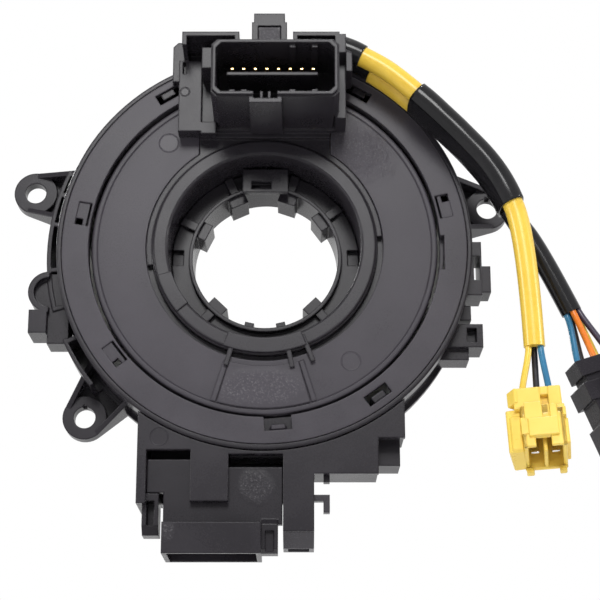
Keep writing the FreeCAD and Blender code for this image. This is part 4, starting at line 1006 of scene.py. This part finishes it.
@dataclass
class YellowPlug:
    """Two-way plug: rear block, hollow nose with its middle rib, tongue, side wing, feet and retainer.

    The retainer and the cheek lean back from a left front edge: a point (u, v, z) of their own axes
    lies at edge + (u cos(lean) + v sin(lean), v cos(lean) - u sin(lean), z).
    """

    finishes: Finishes
    hanger: Hanger
    left_mm: float = -4.0
    right_mm: float = 5.4
    rear_half_mm: float = 5.3
    deep_mm: float = 5.4
    length_mm: float = 15.3
    neck_mm: float = 5.0
    wall_mm: float = 0.95
    retainer_lean_deg: float = 6.0
    cheek_lean_deg: float = 52.0
    chamfer_mm: float = 0.22
    retainer_chamfer_mm: float = 0.30
    blade_chamfer_mm: float = 0.12
    blade_half_mm: float = 0.95
    blade_out_mm: float = 2.3

    def _rear(self) -> Blocks:
        """Rear block with the sunk window in its front."""
        front, back, half = -self.deep_mm + 0.5, -0.3, self.rear_half_mm
        top, low = 0.0, -self.neck_mm - 0.4
        skin = front + 1.5
        left, right, sill, head = 0.7, 2.4, -4.6, -2.2
        return [(-half, half, skin, back, low, top), (-half, left, front, skin + 0.2, low, top),
                (right, half, front, skin + 0.2, low, top),
                (left - 0.1, right + 0.1, front, skin + 0.2, head, top),
                (left - 0.1, right + 0.1, front, skin + 0.2, low, sill)]

    def _nose(self) -> Blocks:
        """Walls of the hollow nose, its cap, its middle rib and the lip below."""
        left, right, deep, wall = self.left_mm, self.right_mm, self.deep_mm, self.wall_mm
        middle = 0.5 * (left + right)
        top, low = -self.neck_mm, -self.length_mm
        gap_left, gap_right, gap_top = middle - 2.0, middle + 1.4, low + 2.2
        return [(left, right, -deep, deep, top - 2.4, top),
                (left, right, deep - wall, deep, low - 0.3, top),
                (left, left + wall, -deep, deep, low, top), (right - wall, right, -deep, deep, low, top),
                (middle - 0.45, middle + 0.45, 2.4 - deep, deep, low, top),
                (left, gap_left, -deep, wall - deep, low, top),
                (gap_right, right, -deep, wall - deep, low, top),
                (gap_left - 0.1, gap_right + 0.1, -deep, wall - deep, gap_top, top)]

    def _outside(self) -> Blocks:
        """Tongue in two steps round its window, wing, feet and the small blocks beside the tongue."""
        left, right, deep, low = self.left_mm, self.right_mm, self.deep_mm, -self.length_mm
        front = -deep + 0.1
        foot_back, foot_front, foot = deep + 0.4, deep - 1.4, low - 1.4
        return [(-2.6, 4.0, -deep - 0.8, front, low + 2.2, -8.6),
                (-3.2, 0.7, -deep - 0.5, front, -8.8, -4.4),
                (2.4, 4.0, -deep - 0.5, front, -8.8, -5.2),
                (left - 0.2, -2.4, -deep - 0.35, front, low + 3.0, -8.2),
                (right - 0.1, right + 0.8, -3.9, 3.9, low + 1.0, -8.0),
                (right - 1.5, right + 0.3, -deep - 0.2, 2.2 - deep, -6.2, -5.2),
                (right - 0.2, right + 0.5, -deep - 0.2, 2.2 - deep, -8.2, -6.0),
                (left + 0.2, left + 1.9, foot_front, foot_back, foot, low),
                (right - 1.9, right - 0.3, foot_front, foot_back, foot, low)]

    def _leaning(self, edge_mm: float, lean_deg: float) -> Callable[[Array], Array]:
        """What takes points of axes that lean from an edge to places in metres."""
        cosine, sine = math.cos(math.radians(lean_deg)), math.sin(math.radians(lean_deg))
        edge = np.array([edge_mm, 0.5 - self.deep_mm, 0.0])

        def place(local: Array) -> Array:
            """Places in metres of points in the leaning axes."""
            u, v, z = local.T
            turned = np.stack([u * cosine + v * sine, v * cosine - u * sine, z], -1)
            return self.hanger.places(edge + turned)

        return place

    def build(self) -> list[Piece]:
        """Make the moulding, the retainer and the blades in place of their nodes, and the cheek.

        Returns:
            The four pieces.
        """
        low, middle, places = -self.length_mm, 0.5 * (self.left_mm + self.right_mm), self.hanger.places
        half, out = self.blade_half_mm, self.blade_out_mm
        retainer_mm = [(-3.5, -0.1, 1.5, 10.0, low, -4.5), (-2.7, -0.1, 1.1, 9.0, low + 0.3, -6.4)]
        cheek_mm = [(-2.4, 0.6, 0.0, 2.2, -self.neck_mm + 1.1, -0.1)]
        blades_mm = [(x - half, x + half, 0.3, 0.9, low + 1.5, -7.0) for x in (middle - out, middle + out)]
        moulding, retainer, cheek, blades = [part.build(self.finishes) for part in (
            Moulding("yellow_plug_moulding", "yellow_moulding", "yellow_plug",
                     self._rear() + self._nose() + self._outside(), self.chamfer_mm, places),
            Moulding("yellow_plug_retainer", "yellow_moulding", "yellow_plug_lock", retainer_mm,
                     self.retainer_chamfer_mm, self._leaning(self.left_mm, self.retainer_lean_deg)),
            Moulding("yellow_plug_cheek", "yellow_moulding", "", cheek_mm, self.chamfer_mm,
                     self._leaning(-self.rear_half_mm, self.cheek_lean_deg)),
            Moulding("yellow_plug_blades", "tinned_contact", "yellow_plug_terminals", blades_mm,
                     self.blade_chamfer_mm, places))]
        LOG.info("yellow plug: moulding, cheek, retainer, blades")
        return [moulding, cheek, retainer, blades]


@dataclass
class Leads:
    """Both leads with their sleeves, wires and the plugs that hang on them."""

    finishes: Finishes
    front_depth_mm: float = -27.7
    rear_depth_mm: float = -22.0
    yellow_plug: Hanger = Hanger((61.7, -28.5, -39.9), (-8.0, -18.0, -1.0))
    black_plug: Hanger = Hanger((75.1, -26.6, -30.65), (15.0, -3.3, -21.5))

    def _sleeves(self) -> tuple[Sleeve, Sleeve, Sleeve]:
        """The front boot, the rear marker sleeve and the binding sleeve."""
        middle = 0.5 * (self.front_depth_mm + self.rear_depth_mm)
        boot = Sleeve("front_boot", "yellow_lead_boot", "black_tube", 0.4, 5.9, turns=40, rows=20)
        wrap = Sleeve("rear_wrap", "black_lead_wrap", "yellow_tube", 8.7, 21.8, turns=40, rows=30)
        binding = Sleeve("binding", "binding_sleeve", "black_tube", 22.0, 57.5, wall_mm=0.55,
                         spread_mm=0.5 * (self.rear_depth_mm - self.front_depth_mm), depth_mm=middle)
        return boot, wrap, binding

    def _wire_sets(self) -> tuple[WireSet, WireSet]:
        """The wires below each tube."""
        front = WireSet("front_wire", "yellow_lead_wires", "wire_set_front", self.yellow_plug, (
            Strand("yellow", -1.45, -0.5, (-3.2, -2.8)), Strand("black", 0.0, 0.9, (0.1, -2.8)),
            Strand("blue", 1.3, -0.5, (2.9, -2.8))))
        rear = WireSet("rear_wire", "black_lead_wires", "wire_set_rear", self.black_plug, (
            Strand("blue", -1.5, -0.5, (-4.2, -0.6)), Strand("black", -0.6, 1.3, (-2.0, 1.6)),
            Strand("orange", 0.0, -1.4, (-0.2, -1.4)), Strand("violet", 1.5, -0.5, (4.4, -0.6)),
            Strand("yellow", 1.0, 1.2, (2.2, 1.6))))
        return front, rear

    def _tube(self, lead: Lead) -> tuple[Piece, Array]:
        """A lead's tube in place of its node, and its centre line."""
        tube = self.finishes.put(lead.curve(), lead.slot, lead.node)
        return tube, lead.centreline(tube)

    def build(self) -> None:
        """Make the leads with the pieces on them."""
        finishes = self.finishes
        boot, wrap, binding = self._sleeves()
        front_wires, rear_wires = self._wire_sets()
        front = Lead("front_lead", "yellow_lead_tube", SHARED_ROUTE_MM + FRONT_TAIL_MM, self.front_depth_mm,
                     92.0, "yellow_tube")
        rear = Lead("rear_lead", "black_lead_tube", SHARED_ROUTE_MM + REAR_TAIL_MM, self.rear_depth_mm,
                    86.0, "black_tube")
        front_tube, front_line = self._tube(front)
        rear_tube, rear_line = self._tube(rear)
        on_front = [boot.build(front_line, finishes), binding.build(front_line, finishes)]
        on_front += front_wires.build(front_line, finishes)
        on_rear = [wrap.build(rear_line, finishes)] + rear_wires.build(rear_line, finishes)
        on_front += YellowPlug(finishes, self.yellow_plug).build()
        on_rear + ["black_plug", "black_plug_lock", "black_plug_terminals"]
        LOG.info("leads with %d pieces on them", len(on_front) + len(on_rear))


# Contacts and fittings


@dataclass(frozen=True)
class WheelContacts:
    """Row of flat contact pins in the socket that faces the steering wheel.

    A pin's section is rounded, |a / flat|^p + |b|^p = half^p with p its squareness, and is carried
    along the steering axis. Half falls to under half its size over the taper, and both ends are
    closed.
    """

    count: int = 8
    first_mm: float = -7.5
    pitch_mm: float = 2.73
    height_mm: float = 38.2
    tip_mm: float = -34.0
    length_mm: float = 13.85
    half_mm: float = 0.29
    flat: float = 1.8
    squareness: float = 5.0
    taper_mm: float = 0.7
    turns: int = 20

    def build(self, finishes: Finishes) -> None:
        """Make the row as one piece."""
        travel = np.array([0.0, 0.05, 0.35 * self.taper_mm, self.taper_mm, self.length_mm])
        size = self.half_mm * np.array([0.55, 0.68, 0.85, 1.0, 1.0])
        cosine, sine = np.cos(full_turn(self.turns)), np.sin(full_turn(self.turns))
        power = self.squareness
        reach = (np.abs(cosine) ** power + np.abs(sine) ** power) ** (-1 / power)
        section = np.stack([self.flat * cosine * reach, 0 * sine, -sine * reach], -1)
        pin = travel[:, None, None] * DEPTH + size[:, None, None] * section
        closed = np.concatenate([pin.reshape(-1, 3), [0 * DEPTH, self.length_mm * DEPTH]])
        tips = np.array([(self.first_mm + i * self.pitch_mm, self.tip_mm, self.height_mm)
                         for i in range(self.count)])
        points = (tips[:, None, :] + closed[None, :, :]).reshape(-1, 3) * MM
        every = repeated(capped_faces(len(travel), self.turns), len(closed), self.count)
        row = outward(mesh_object("wheel_contacts", points, every, smooth=False))
        finishes.put(row, "gold_contact", "wheel_pins")
        LOG.info("contacts: %d", self.count)


@dataclass(frozen=True)
class Land:
    """Flat raised ring on a front face, with a fine groove inside it and a rounded outer edge.

    A closed profile of radius and depth is turned about the steering axis:
    point = (r cos(t), y, r sin(t)).
    """

    name: str
    slot: str
    inner_mm: float
    outer_mm: float
    front_mm: float
    turns: int = 240

    def build(self, finishes: Finishes) -> None:
        """Make the ring, which turns with the rotor."""
        inner, outer, front = self.inner_mm, self.outer_mm, self.front_mm
        profile = [(inner + 0.12, front + 0.9), (inner + 0.14, front + 0.22), (inner + 0.20, front + 0.06),
                   (inner + 0.32, front), (outer - 0.40, front), (outer - 0.18, front + 0.06),
                   (outer - 0.04, front + 0.24), (outer, front + 0.9)]
        radius, depth = (np.array(profile) * MM).T[:, None, :]
        angle = full_turn(self.turns)[:, None]
        points = np.stack([radius * np.cos(angle), depth + 0 * angle, radius * np.sin(angle)], -1)
        faces = tube_faces(self.turns, len(profile), ring=True)
        ring = mesh_object(self.name, points.reshape(-1, 3), faces, smooth=False)
        finishes.put(outward(ring), self.slot)


@dataclass
class Fittings:
    """Lands of the disc and the collar, the tower's etched plate and the catch in the ring's notch."""

    finishes: Finishes
    notch_deg: float = 274.4
    notch_r_mm: float = 41.6
    reach_mm: float = 4.2
    plate_mm: tuple[float, ...] = (-1.7, 3.8, -24.7, -23.9, 49.2, 53.6)
    lands: tuple[Land, ...] = (Land("disc_land", "disc_moulding", 39.7, 41.2, -17.0),
                               Land("collar_land", "black_moulding", 23.2, 26.6, -17.97))

    def _round(self, local: Array) -> Array:
        """Points as tangent, depth and radius in millimetres at the notch, as places in metres."""
        cosine, sine = math.cos(math.radians(self.notch_deg)), math.sin(math.radians(self.notch_deg))
        along, depth, radius = local.T
        return np.stack([radius * cosine - along * sine, depth, radius * sine + along * cosine], -1) * MM

    def build(self) -> None:
        """Make them."""
        for land in self.lands:
            land.build(self.finishes)
        inner, outer = self.notch_r_mm, self.notch_r_mm + self.reach_mm
        back = [(-4.0, 4.0, -15.6, -15.0, inner, outer)]
        catch = [(-1.7, 1.7, -17.5, -15.3, inner + 2.0, inner + 3.3),
                 (-2.1, 2.1, -16.6, -15.3, inner + 2.4, inner + 3.4)]
        parts = (Moulding("notch_back", "black_moulding", "", back, 0.15, self._round, Body.STATOR),
                 Moulding("notch_catch", "ring_moulding", "", catch, 0.20, self._round, Body.STATOR),
                 Moulding("tower_plate", "grey_moulding", "", [self.plate_mm], 0.25, lambda at: at * MM))
        for part in parts:
            part.build(self.finishes)
        LOG.info("fittings: %d lands, notch back, catch, plate", len(self.lands))


def corners(box: tuple[Vector, Vector]) -> list[list[float]]:
    """Two corners as plain lists of numbers."""
    return [list(corner) for corner in box]


def main() -> dict[str, Any]:
    """Build the whole scene in order.
    """
    logging.basicConfig(level=logging.INFO, format="%(name)s: %(message)s")
    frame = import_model()
    Studio().build()
    finishes = Finishes()
    finishes.dress(frame)
    Leads(finishes).build()
    WheelContacts().build(finishes)
    Fittings(finishes).build()
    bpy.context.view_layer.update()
    return frame


if __name__ == "__main__":
    main()
